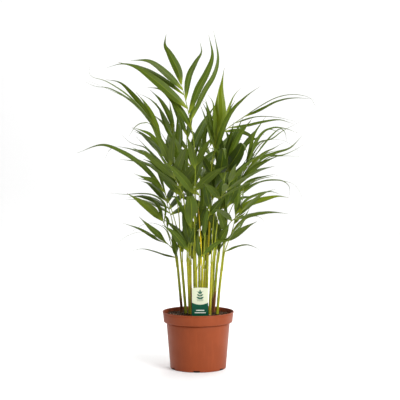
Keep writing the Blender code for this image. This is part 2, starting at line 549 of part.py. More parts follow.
class Leaflet:
    """One leaflet: the path it takes and how its blade turns along the way."""

    def __init__(self, path_points, width, face_to, roll, rachis_way, steps):
        self.points = path_points
        self.steps = steps
        self.width = width
        self.face_to = face_to
        self.roll = roll
        self.rachis_way = rachis_way

    def frames(self, steps):
        """(centre, wide, thin) at each step. The blade starts along the rachis and turns."""
        path = smooth_path(self.points, steps)
        ways = tangents_of(path)
        middle = steps // 2
        facing = across(ways[middle], self.face_to)
        wide = ways[middle].cross(facing)
        angle = math.radians(self.roll)
        wide = wide * math.cos(angle) + ways[middle].cross(wide) * math.sin(angle)
        wides = [wide] * (steps + 1)
        for i in range(middle + 1, steps + 1):
            wides[i] = across(ways[i], wides[i - 1])
        for i in range(middle - 1, -1, -1):
            wides[i] = across(ways[i], wides[i + 1])
        leads = [across(ways[0], self.rachis_way)]
        for way in ways[1:]:
            leads.append(across(way, leads[-1]))
        if leads[1].dot(wides[1]) < 0:
            wides = [-w for w in wides]
        result = []
        for i, (centre, way) in enumerate(zip(path, ways)):
            lead = leads[i]
            turn = math.atan2(way.dot(lead.cross(wides[i])), lead.dot(wides[i]))
            turn *= min(1.0, (i / steps) / 0.35)
            wide = lead * math.cos(turn) + way.cross(lead) * math.sin(turn)
            result.append((centre, wide, way.cross(wide)))
        return result

    def rings(self, extra=0.0):
        """Cross-sections of the blade, foot to tip. The first stands a little off the rachis."""
        out = []
        frames = self.frames(self.steps)
        for i, (centre, wide, thin) in enumerate(frames):
            width = max(self.width * blade_share(i / self.steps), 0.0009)
            thick = LEAFLET_THICKNESS * (0.6 if i == self.steps else 1.0)
            if i == 0:
                out_way = frames[1][0] - centre
                centre = centre + out_way * (BLADE_FOOT_GAP / out_way.length)
                width = min(width, BLADE_FOOT_WIDTH)
            out.append(blade_ring(centre, wide, thin, width + 2 * extra, thick + 2 * extra))
        return out

    def rooted_rings(self, extra):
        """The same cross-sections, with one more where the leaflet meets the rachis."""
        centre, wide, thin = self.frames(self.steps)[0]
        root = blade_ring(centre, wide, thin, BLADE_FOOT_WIDTH + 2 * extra, 0.002 + 2 * extra)
        return [root, *self.rings(extra)]


def free_leaflet(leaflet, thicket, own, rachis):
    """Tries small changes to the leaflet's depth and turn until it grows through nothing."""
    tries = [(0.0, 0.0, 1.0)]
    for step in range(1, 11):
        tries += [(0.006 * step, 0.0, 1.0), (-0.006 * step, 0.0, 1.0)]
        if step in (3, 6, 9):
            for turn in (22.0, -22.0, 45.0, -45.0):
                tries += [(0.006 * step, turn, 0.85), (-0.006 * step, turn, 0.85)]
    for step in (2, 5, 8, 11, 14):
        for turn in (60.0, -60.0, 90.0):
            tries += [(0.007 * step, turn, 0.6), (-0.007 * step, turn, 0.6)]
    start = leaflet.points
    roll = leaflet.roll
    width = leaflet.width
    for shift, turn, share in tries:
        moved = []
        for i, point in enumerate(start):
            part = (i / (len(start) - 1)) ** 0.8
            moved.append(point + leaflet.face_to * (shift * part))
        leaflet.points = moved
        leaflet.roll = roll + turn
        leaflet.width = width * share
        rings = leaflet.rooted_rings(LEAF_CLEARANCE / 2)
        if thicket.meets(*sleeve(rings)) or own.meets(*sleeve(rings[1:])):
            continue
        if not rachis.meets(*sleeve(rings[2:])):
            return True
    return False


# ---------------------------------------------------------------- fronds
KNOTS = 8
STEPS = 64


class Frond:
    """Petiole, rachis and leaflets, planned first and drawn as one body afterwards."""

    def __init__(self, name, mouth, path_points):
        self.name = name
        self.mouth = mouth
        self.points = path_points
        self.leaflets = []

    def knots(self):
        return smooth_path([self.mouth, *self.points], KNOTS)

    def path(self):
        """STEPS + 1 points along the straight runs between the knots."""
        knots = self.knots()
        each = STEPS // KNOTS
        path = []
        for a, b in zip(knots, knots[1:]):
            path += [a.lerp(b, i / each) for i in range(each)]
        return [*path, knots[-1]]

    def radius(self, share):
        return PETIOLE_RADIUS + (RACHIS_TIP_RADIUS - PETIOLE_RADIUS) * share

    def skin(self, extra):
        knots = self.knots()
        radii = [self.radius(i / KNOTS) * 1.15 + extra for i in range(KNOTS + 1)]
        return sleeve(tube_rings(knots, radii, 4))


def free_rachis(frond, thicket):
    """Moves the points of a petiole and rachis a little until it grows through nothing."""
    start = list(frond.points)
    for step in range(0, 26):
        for turn in range(1 if step == 0 else 8):
            angle = math.pi * turn / 4 + step
            move = Vector((math.cos(angle), math.sin(angle), 0.0)) * (0.0011 * step)
            frond.points = [
                p + move * (1.0 if i < len(start) - 1 else 0.5) for i, p in enumerate(start)
            ]
            points, faces = frond.skin(LEAF_CLEARANCE / 2)
            if not thicket.meets(points, faces):
                return True
    return False


def rule_leaflets(frond, pairs, length, width, foot_angle, tip_angle, droop, chance):
    """Leaflets in pairs along the rachis, leaning forward more and more towards its tip."""
    path = frond.path()
    ways = tangents_of(path)
    out = []
    for pair in range(pairs):
        part = pair / max(pairs - 1, 1)
        for side in (-1, 1):
            share = 0.72 + 0.26 * part - (0.02 if side > 0 else 0.0)
            index = int(share * (len(path) - 1))
            way = ways[index]
            sideways = way.cross(WORLD_UP)
            if sideways.length < 0.2:
                sideways = way.cross(TO_FRONT)
            sideways.normalize()
            top = sideways.cross(way).normalized()
            spread = math.radians(foot_angle + (tip_angle - foot_angle) * part + chance.uniform(-5, 5))
            lean = math.radians(chance.uniform(4, 22))
            out_way = sideways * (side * math.cos(lean)) + top * math.sin(lean)
            heading = way * math.cos(spread) + out_way * math.sin(spread)
            size = length * (0.80 + 0.25 * math.sin(math.pi * (0.35 + 0.5 * part))) * chance.uniform(0.88, 1.08)
            foot = path[index]
            points = [foot]
            for part_out in (0.34, 0.68, 1.0):
                fall = droop * size * part_out**2.2 * 1.6
                points.append(foot + heading * (size * part_out) - WORLD_UP * fall)
            blade = width * chance.uniform(0.85, 1.12)
            out.append((index, Leaflet(points, blade, top, chance.uniform(-18, 18), way, 4)))
    return out


def plan_fronds(thicket, mouths):
    """Lays out every rachis first, then every leaflet, so that none grows through another."""
    chance = random.Random(11)
    side = CM * PLANT_SPREAD / TABLE_SPREAD
    plans = []
    for name, shoot, tip in SPEARS:
        target = table_point(*tip)
        mouth = mouths[shoot].take(target)
        frond = Frond(name, mouth, [mouth.lerp(target, 0.5) + Vector((0.0008, 0.0006, 0)), target])
        plans.append((frond, "spear", None, shoot))
    for name, shoot, rachis, leaflets in FRONDS:
        points = [table_point(*p) for p in rachis]
        frond = Frond("frond_" + name, mouths[shoot].take(points[0]), points)
        plans.append((frond, "drawn", leaflets, shoot))
    for name, shoot, tip, pairs, length, width, foot, end, droop in RULE_FRONDS:
        target = table_point(*tip)
        mouth = mouths[shoot].take(target)
        way = mouths[shoot].way
        reach = (target - mouth).length
        middle = mouth + way * (reach * 0.48) + (target - mouth) * 0.10
        late = mouth.lerp(target, 0.78) + way * (reach * 0.10)
        frond = Frond("frond_" + name, mouth, [middle, late, target])
        plans.append((frond, "rule", (pairs, length * side, width * side, foot, end, droop), shoot))
    skins = {}
    for frond, style, _, _ in plans:
        if not free_rachis(frond, thicket):
            print("crowded:", frond.name)
        if style == "spear":
            thicket.add(*sleeve(spear_rings(frond, LEAF_CLEARANCE / 2)))
        else:
            thicket.add(*frond.skin(LEAF_CLEARANCE / 2))
            skins[frond.name] = thicket.kept[-1]
    lost = 0
    for frond, style, data, _ in plans:
        if style == "spear":
            continue
        own = Thicket()
        grown = Thicket()
        path = frond.path()
        ways = tangents_of(path)
        found = []
        if style == "drawn":
            for tip_y, width, roll, *places in data:
                points = [table_point(x, 0.0, z) for x, z in zip(places[::2], places[1::2])]
                index = min(
                    range(len(path) // 3, len(path)),
                    key=lambda i: math.hypot(path[i].x - points[0].x, path[i].z - points[0].z),
                )
                foot = path[index]
                reach = [0.0]
                for a, b in zip(points, points[1:]):
                    reach.append(reach[-1] + (b - a).length)
                for i, point in enumerate(points):
                    point.y = foot.y + (tip_y * side - foot.y) * reach[i] / reach[-1]
                points[0] = foot.copy()
                steps = 5 if len(points) > 3 else 4
                found.append(
                    (index, Leaflet(points, width * side, TO_FRONT, roll, ways[index], steps))
                )
        else:
            found = rule_leaflets(frond, *data, chance)
        rachis = Thicket()
        rachis.kept = [skins[frond.name]]
        others = Thicket()
        others.kept = [k for k in thicket.kept if k is not skins[frond.name]]
        taken = []
        for index, leaflet in found:
            while any(abs(index - t) < 2 for t in taken):
                index -= 1
            leaflet.points = [path[index].copy(), *leaflet.points[1:]]
            if free_leaflet(leaflet, others, own, rachis):
                taken.append(index)
                own.add(*sleeve(leaflet.rings(LEAF_CLEARANCE / 2)))
                grown.add(*sleeve(leaflet.rooted_rings(LEAF_CLEARANCE / 2)))
                frond.leaflets.append((index, leaflet))
            else:
                lost += 1
        thicket.kept += grown.kept
    print("leaflets:", sum(len(f.leaflets) for f, _, _, _ in plans), "left out:", lost)
    return plans


def spear_rings(frond, extra=0.0):
    path = smooth_path([frond.mouth, *frond.points], 6)
    shares = (0.9, 1.15, 1.3, 1.25, 0.95, 0.6, 0.22)
    radii = [PETIOLE_RADIUS * s + extra for s in shares]
    return tube_rings(path, radii, 6)


def drawn_body(rings):
    """A body drawn from ring to ring by extrusion, closed at both ends."""
    bm = bmesh.new()
    foot = first_face(bm, rings[0])
    foot_verts = list(foot.verts)
    end = foot
    for ring in rings[1:]:
        end, _ = draw_out(bm, end, ring)
    close_up(bm, foot_verts[::-1])
    return bm


def drawn_frond(frond):
    """The whole frond: the rachis is drawn first, and each leaflet out of one of its sides."""
    steps = STEPS
    path = frond.path()
    ways = tangents_of(path)
    marks = {float(place) for place in range(0, steps + 1, steps // KNOTS)}
    spans = {}
    for index, _ in frond.leaflets:
        low = min(index - 0.45, steps - 0.95)
        high = min(index + 0.45, steps - 0.05)
        spans[index] = (low, high)
        marks.update((low, high))
    kept = sorted(marks)
    stations = [kept[0]]
    for mark in kept[1:]:
        if mark - stations[-1] > 1e-6:
            stations.append(mark)

    def at(mark):
        low = int(min(mark, steps - 1))
        part = mark - low
        return path[low].lerp(path[low + 1], part), ways[low].lerp(ways[min(low + 1, steps)], part)

    rings = []
    for mark in stations:
        centre, way = at(mark)
        radius = frond.radius(mark / steps) * 1.15
        rings.append(round_ring(centre, way.normalized(), TO_FRONT, radius, 4))
    bm = bmesh.new()
    foot = first_face(bm, rings[0])
    foot_verts = list(foot.verts)
    end = foot
    walls = {}
    for number, ring in enumerate(rings[1:]):
        end, sides = draw_out(bm, end, ring)
        walls[stations[number]] = sides
    close_up(bm, foot_verts[::-1])
    bm.normal_update()
    for index, leaflet in frond.leaflets:
        low, _ = spans[index]
        start = min(walls, key=lambda mark: abs(mark - low))
        blade = leaflet.rings()
        near = sum(blade[0], Vector()) / 4
        out_way = (near - leaflet.points[0]).normalized()
        wall = max(walls[start], key=lambda f: f.normal.dot(out_way))
        walls[start] = [f for f in walls[start] if f is not wall]
        face = wall
        corners = [v.co.copy() for v in face.verts]
        middle = sum(corners, Vector()) / 4
        turned = best_turn([c - middle + near for c in corners], blade[0])
        shift = blade[0].index(turned[0])
        top = -shift % 4
        for ring in blade:
            ordered = [ring[(i + shift) % 4] for i in range(4)]
            before = list(face.verts)
            face, _ = draw_out(bm, face, ordered)
            after = list(face.verts)
            # Both broad walls are split along the same diagonal, so that a turning blade stays open.
            bmesh.ops.connect_verts(bm, verts=[before[top], after[(top + 1) % 4]])
            bmesh.ops.connect_verts(bm, verts=[before[top - 1], after[(top + 2) % 4]])
    return bm


# ---------------------------------------------------------------- shoots
class Mouth:
    """The open top of a shoot, which hands out places for the petioles that grow from it."""

    def __init__(self, centre, way):
        self.centre = centre
        self.way = way
        self.used = []

    def take(self, target):
        flat = target - self.centre
        flat.z = 0.0
        aim = math.atan2(flat.y, flat.x)
        ring = SHOOT_TOP_RADIUS - PETIOLE_RADIUS * 0.8
        best = None
        for step in range(24):
            angle = aim + (step + 1) // 2 * (-1) ** step * math.pi / 12
            gap = min(
                (abs(math.remainder(angle - other, 2 * math.pi)) for other in self.used),
                default=math.pi,
            )
            if gap * ring > 2 * PETIOLE_RADIUS * 1.15 + LEAF_CLEARANCE:
                best = angle
                break
        if best is None:
            raise ValueError("too many petioles on one shoot")
        self.used.append(best)
        u = across(self.way, Vector((1.0, 0.0, 0.0)))
        v = self.way.cross(u)
        off = u * (ring * math.cos(best)) + v * (ring * math.sin(best))
        return self.centre + off + self.way * CLEARANCE


def shoot_path(row):
    x0, y0, x1, y1, z1 = row
    foot = table_point(x0, y0, TABLE_SOIL / CM)
    top = table_point(x1, y1, z1)
    lean = (top - foot) * 0.10
    deep = foot - Vector((lean.x * 0.3, lean.y * 0.3, SHOOT_DEPTH))
    middle = foot.lerp(top, 0.5) - Vector((lean.x * 0.5, lean.y * 0.5, 0.0))
    return smooth_path([deep, foot, middle, top], 5)


def shoot_rings(path, extra, sides=6):
    radii = [
        SHOOT_RADIUS + (SHOOT_TOP_RADIUS - SHOOT_RADIUS) * i / (len(path) - 1) + extra
        for i in range(len(path))
    ]
    return tube_rings(path, radii, sides)


# ---------------------------------------------------------------- pot, soil and label
def build_pot(collection, helpers):
    lip_low = POT_HEIGHT - POT_LIP_HEIGHT
    lip_radius = POT_RIM_RADIUS - POT_LIP_DROP
    top_body = lip_radius - POT_BODY_STEP
    foot = top_body - POT_TAPER
    profile = (
        (POT_RIM_RADIUS - POT_WALL * 0.5, POT_HEIGHT),
        (POT_RIM_RADIUS - POT_WALL * 0.12, POT_HEIGHT - 0.0005),
        (POT_RIM_RADIUS, POT_HEIGHT - 0.0015),
        (POT_RIM_RADIUS - 0.0002, POT_HEIGHT - 0.0034),
        (POT_RIM_RADIUS - 0.0010, POT_HEIGHT - 0.0042),
        (lip_radius, lip_low + 0.0006),
        (lip_radius - 0.0006, lip_low),
        (top_body + 0.0005, lip_low - 0.0036),
        (top_body, lip_low - 0.0048),
        (foot + 0.0004, POT_FOOT_CHAMFER + 0.0004),
        (foot - POT_FOOT_CHAMFER * 0.8, 0.0),
        (0.0, 0.0),
        (0.0, POT_FLOOR),
        (foot - POT_WALL - 0.0016, POT_FLOOR),
        (foot - POT_WALL, POT_FLOOR + 0.0020),
        (top_body - POT_WALL, lip_low - 0.0050),
        (lip_radius - POT_WALL - 0.0004, lip_low - 0.0006),
        (POT_RIM_RADIUS - POT_WALL - 0.0002, POT_HEIGHT - 0.0010),
        (POT_RIM_RADIUS - POT_WALL * 0.85, POT_HEIGHT - 0.0002),
        (POT_RIM_RADIUS - POT_WALL * 0.5, POT_HEIGHT),
    )
    pot = turned_profile("pot", profile, 48, collection, "pot")
    bm = bmesh.new()
    for i in range(DRAIN_COUNT):
        angle = math.radians(DRAIN_TURN + i * 360.0 / DRAIN_COUNT)
        made = bmesh.ops.create_cube(bm, size=1.0)["verts"]
        reach = foot - DRAIN_DEPTH / 2 + 0.002
        bmesh.ops.scale(bm, vec=(DRAIN_DEPTH, DRAIN_WIDTH, DRAIN_HEIGHT * 2), verts=made)
        bmesh.ops.translate(bm, vec=(reach, 0.0, 0.0), verts=made)
        bmesh.ops.rotate(bm, verts=made, matrix=Matrix.Rotation(angle, 3, "Z"))
    cut_away(pot, hidden_cutter("drain_cutter", mesh_from(bm, "drain_cutter"), helpers))
    return pot


def inner_radius(height):
    """Inside radius of the pot at a height, whichever of body and lip it falls in."""
    lip_low = POT_HEIGHT - POT_LIP_HEIGHT
    lip_radius = POT_RIM_RADIUS - POT_LIP_DROP
    body_top = lip_radius - POT_BODY_STEP
    if height < lip_low - 0.005:
        return body_radius(height) - POT_WALL
    if height < lip_low:
        share = (height - lip_low + 0.005) / 0.005
        return body_top + (lip_radius - body_top) * share - POT_WALL
    share = (height - lip_low) / POT_LIP_HEIGHT
    return lip_radius + POT_LIP_DROP * share - POT_WALL


def build_soil(collection, helpers, shoots):
    """Soil as a turned body with an uneven top, with sockets for the shoots and the label."""
    lip_low = POT_HEIGHT - POT_LIP_HEIGHT
    gap = CLEARANCE + 0.0004
    steps = 36
    rows = []
    lip_radius = POT_RIM_RADIUS - POT_LIP_DROP
    rows.append((inner_radius(POT_FLOOR) - 0.0022, POT_FLOOR + CLEARANCE))
    rows.append((inner_radius(POT_FLOOR + 0.004) - gap, POT_FLOOR + 0.004))
    rows.append((lip_radius - POT_BODY_STEP - POT_WALL - gap, lip_low - 0.0046))
    rows.append((lip_radius - POT_WALL - 0.0004 - gap, lip_low))
    rows.append((inner_radius(SOIL_LEVEL - 0.002) - gap, SOIL_LEVEL - 0.0025))
    chance = random.Random(5)
    bm = bmesh.new()
    ring = [
        bm.verts.new((rows[0][0] * math.cos(2 * math.pi * i / steps),
                      rows[0][0] * math.sin(2 * math.pi * i / steps), rows[0][1]))
        for i in range(steps)
    ]
    bottom = bm.faces.new(ring)
    bottom_verts = list(bottom.verts)
    end = bottom

    def level(radius, height):
        return [
            Vector((radius * math.cos(2 * math.pi * i / steps),
                    radius * math.sin(2 * math.pi * i / steps), height))
            for i in range(steps)
        ]

    for radius, height in rows[1:]:
        end, _ = draw_out(bm, end, level(radius, height))
    outer = rows[-1][0]
    for share in (0.94, 0.76, 0.56, 0.34, 0.12):
        points = level(outer * share, SOIL_LEVEL)
        for point in points:
            point.z += SOIL_MOUND * (1.0 - share**2) + chance.uniform(-0.0009, 0.0009)
        end, _ = draw_out(bm, end, points)
    close_up(bm, bottom_verts[::-1])
    soil = add_object("potting_soil", mesh_from(bm, "potting_soil"), "potting_soil", collection)
    cut = bmesh.new()
    for path in shoots:
        rings = shoot_rings(path, CLEARANCE * 1.3)
        below = path[0] - (path[1] - path[0]).normalized() * (CLEARANCE * 2)
        rings[0] = [p + (below - path[0]) for p in rings[0]]
        add_drawn(cut, rings[:3])
    half = LABEL_WIDTH / 2 + CLEARANCE
    made = bmesh.ops.create_cube(cut, size=1.0)["verts"]
    bmesh.ops.scale(
        cut, vec=(half * 2, LABEL_THICKNESS + 2 * CLEARANCE, LABEL_DEPTH + CLEARANCE + 0.03),
        verts=made,
    )
    bmesh.ops.translate(
        cut, vec=(LABEL_X, LABEL_Y, SOIL_LEVEL + (0.03 - LABEL_DEPTH - CLEARANCE) / 2), verts=made,
    )
    cut_away(soil, hidden_cutter("soil_cutter", mesh_from(cut, "soil_cutter"), helpers))
    return soil


def add_drawn(bm, rings):
    foot = first_face(bm, rings[0])
    foot_verts = list(foot.verts)
    end = foot
    for ring in rings[1:]:
        end, _ = draw_out(bm, end, ring)
    close_up(bm, foot_verts[::-1])


def build_label(collection):
    """A flat plate with rounded shoulders and a slightly raised top edge."""
    bm = bmesh.new()
    half = LABEL_WIDTH / 2
    low = SOIL_LEVEL - LABEL_DEPTH
    high = SOIL_LEVEL + LABEL_SHOWN
    shoulder = 0.0022
    outline = [(-half + 0.004, low), (half - 0.004, low), (half, low + 0.012)]
    for step in range(4):
        angle = math.radians(step * 30)
        outline.append((half - shoulder + shoulder * math.cos(angle),
                        high - 0.001 - shoulder + shoulder * math.sin(angle)))
    for share in (0.5, 0.0, -0.5):
        outline.append((share * half, high - 0.001 * share**2 * 2.0))
    for step in range(3, -1, -1):
        angle = math.radians(step * 30)
        outline.append((-half + shoulder - shoulder * math.cos(angle),
                        high - 0.001 - shoulder + shoulder * math.sin(angle)))
    outline.append((-half, low + 0.012))
    front = LABEL_Y - LABEL_THICKNESS / 2
    ring = [Vector((LABEL_X + x, front, z)) for x, z in outline[::-1]]
    back = [p + Vector((0.0, LABEL_THICKNESS, 0.0)) for p in ring]
    add_drawn(bm, [ring, back])
    return add_object("plant_label", mesh_from(bm, "plant_label"), "plant_label", collection)


# ---------------------------------------------------------------- the whole part
def main():
    clear_scene()
    collection = bpy.data.collections.new("potted_palm")
    bpy.context.scene.collection.children.link(collection)
    helpers = bpy.data.collections.new("cutters")
    bpy.context.scene.collection.children.link(helpers)

    build_pot(collection, helpers)
    shoots = [shoot_path(row) for row in SHOOTS]
    build_soil(collection, helpers, shoots)
    label = build_label(collection)

    thicket = Thicket()
    thicket.add(
        [v.co.copy() for v in label.data.vertices],
        [tuple(p.vertices) for p in label.data.polygons],
    )
    rim = round_ring(Vector((0, 0, 0)), WORLD_UP, TO_FRONT, POT_RIM_RADIUS + 0.002, 24)
    thicket.add(*sleeve([rim, [p + WORLD_UP * (POT_HEIGHT + 0.002) for p in rim]]))
    mouths = []
    for number, path in enumerate(shoots):
        rings = shoot_rings(path, 0.0)
        obj = add_object(
            f"shoot_{number + 1:02d}", mesh_from(drawn_body(rings), "shoot"), "shoot", collection
        )
        smooth_round(obj, 50)
        thicket.add(*sleeve(shoot_rings(path, LEAF_CLEARANCE / 2)[:-1] + [rings[-1]]))
        mouths.append(Mouth(path[-1], (path[-1] - path[-2]).normalized()))
    for frond, style, _, _ in plan_fronds(thicket, mouths):
        if style == "spear":
            bm = drawn_body(spear_rings(frond))
            obj = add_object(frond.name, mesh_from(bm, frond.name), "spear", collection)
        else:
            bm = drawn_frond(frond)
            obj = add_object(frond.name, mesh_from(bm, frond.name), "frond", collection)
        smooth_round(obj, 50)


main()
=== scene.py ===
"""A young clump palm in a 17 cm nursery pot: the finished look of every piece.

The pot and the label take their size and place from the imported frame. The plant is grown here
again from the same growth table as the solids, so a blade lies where its solid lies. World axes
are metres, +Z up, and the label faces -Y.
"""

import math
import random

import bmesh
import bpy
from mathutils import Matrix, Vector, noise
from mathutils.bvhtree import BVHTree


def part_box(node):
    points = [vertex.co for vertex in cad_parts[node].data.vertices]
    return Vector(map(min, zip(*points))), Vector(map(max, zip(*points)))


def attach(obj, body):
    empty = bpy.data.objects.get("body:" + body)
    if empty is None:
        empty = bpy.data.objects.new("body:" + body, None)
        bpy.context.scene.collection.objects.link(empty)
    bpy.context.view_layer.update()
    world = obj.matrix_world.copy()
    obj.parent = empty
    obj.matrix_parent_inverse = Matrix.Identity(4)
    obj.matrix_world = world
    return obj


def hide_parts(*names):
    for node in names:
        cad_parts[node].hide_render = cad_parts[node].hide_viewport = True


bl_info = {
    "name": "Potted clump palm",
    "version": (1, 0, 0),
    "blender": (4, 5, 0),
    "location": "View3D > Sidebar > Potted Palm",
    "description": "Builds a clump palm in a nursery pot round its packed frame",
    "category": "Add Mesh",
}

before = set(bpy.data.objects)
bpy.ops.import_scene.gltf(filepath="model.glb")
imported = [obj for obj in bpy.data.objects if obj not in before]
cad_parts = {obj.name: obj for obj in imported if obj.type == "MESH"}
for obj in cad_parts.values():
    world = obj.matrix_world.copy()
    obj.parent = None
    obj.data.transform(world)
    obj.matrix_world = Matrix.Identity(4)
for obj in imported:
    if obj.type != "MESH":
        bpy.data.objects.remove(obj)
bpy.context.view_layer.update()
POT_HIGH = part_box("pot")[1]
LABEL_LOW, LABEL_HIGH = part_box("plant_label")

# ---------------------------------------------------------------- sizes of the solids, in metres
# Those read from the frame are rounded to 0.1 mm, so that the plant grows the same every time.
POT_HEIGHT = round(POT_HIGH[2], 4)
POT_RIM_RADIUS = round(POT_HIGH[0], 4)
POT_LIP_DROP = 0.0032
POT_LIP_HEIGHT = 0.0258
POT_BODY_STEP = 0.0066
POT_TAPER = 0.0089
POT_WALL = 0.0016
POT_FLOOR = 0.0020
POT_FOOT_CHAMFER = 0.0030
DRAIN_COUNT = 6
DRAIN_WIDTH = 0.016
DRAIN_HEIGHT = 0.0045
DRAIN_DEPTH = 0.011
DRAIN_TURN = -93.0
SOIL_DROP = 0.0105
SOIL_MOUND = 0.004
SOIL_LEVEL = POT_HEIGHT - SOIL_DROP
SHOOT_DEPTH = 0.022
SHOOT_RADIUS = 0.0032
SHOOT_TOP_RADIUS = 0.0033
PETIOLE_RADIUS = 0.0013
RACHIS_TIP_RADIUS = 0.0008
LEAFLET_THICKNESS = 0.0010
LABEL_WIDTH = round(LABEL_HIGH[0] - LABEL_LOW[0], 4)
LABEL_SHOWN = round(LABEL_HIGH[2] - SOIL_LEVEL, 4)
LABEL_DEPTH = round(SOIL_LEVEL - LABEL_LOW[2], 4)
LABEL_THICKNESS = round(LABEL_HIGH[1] - LABEL_LOW[1], 4)
LABEL_Y = round((LABEL_LOW[1] + LABEL_HIGH[1]) / 2, 4)
LABEL_X = round((LABEL_LOW[0] + LABEL_HIGH[0]) / 2, 4)
PLANT_TOP = 0.8166
PLANT_SPREAD = 0.570
CLEARANCE = 0.0003
LEAF_CLEARANCE = 0.0009
TABLE_TOP = 0.812
TABLE_SPREAD = 0.570
TABLE_SOIL = 0.127
CM = 0.01
WORLD_UP = Vector((0.0, 0.0, 1.0))
TO_FRONT = Vector((0.0, -1.0, 0.0))
ROUND = 2 * math.pi

# ---------------------------------------------------------------- shoots
# Where each shoot leaves the soil (x, y) and where its mouth is (x, y, z), in centimetres.
SHOOTS = (
    (-4.0, 2.4, -5.0, 3.2, 24.0),
    (-3.0, 0.6, -4.0, 0.8, 25.5),
    (-2.0, -1.2, -2.5, -2.4, 26.0),
    (-1.8, 2.0, -1.9, 2.8, 24.5),
    (-0.8, -0.6, -1.0, -1.0, 27.0),
    (-0.5, 3.6, -0.7, 4.8, 23.0),
    (0.3, 1.2, 0.3, 1.4, 24.5),
    (0.9, -2.2, 1.0, -3.2, 25.0),
    (1.4, 3.0, 1.7, 4.0, 23.4),
    (2.0, 0.4, 2.3, 0.4, 27.5),
    (2.8, -2.0, 3.3, -2.8, 25.5),
    (3.2, 1.4, 4.0, 1.7, 27.0),
    (3.8, 3.2, 4.7, 4.6, 25.0),
    (4.6, -0.6, 5.6, -0.9, 23.5),
    (-0.3, -3.0, -0.5, -4.2, 24.0),
)

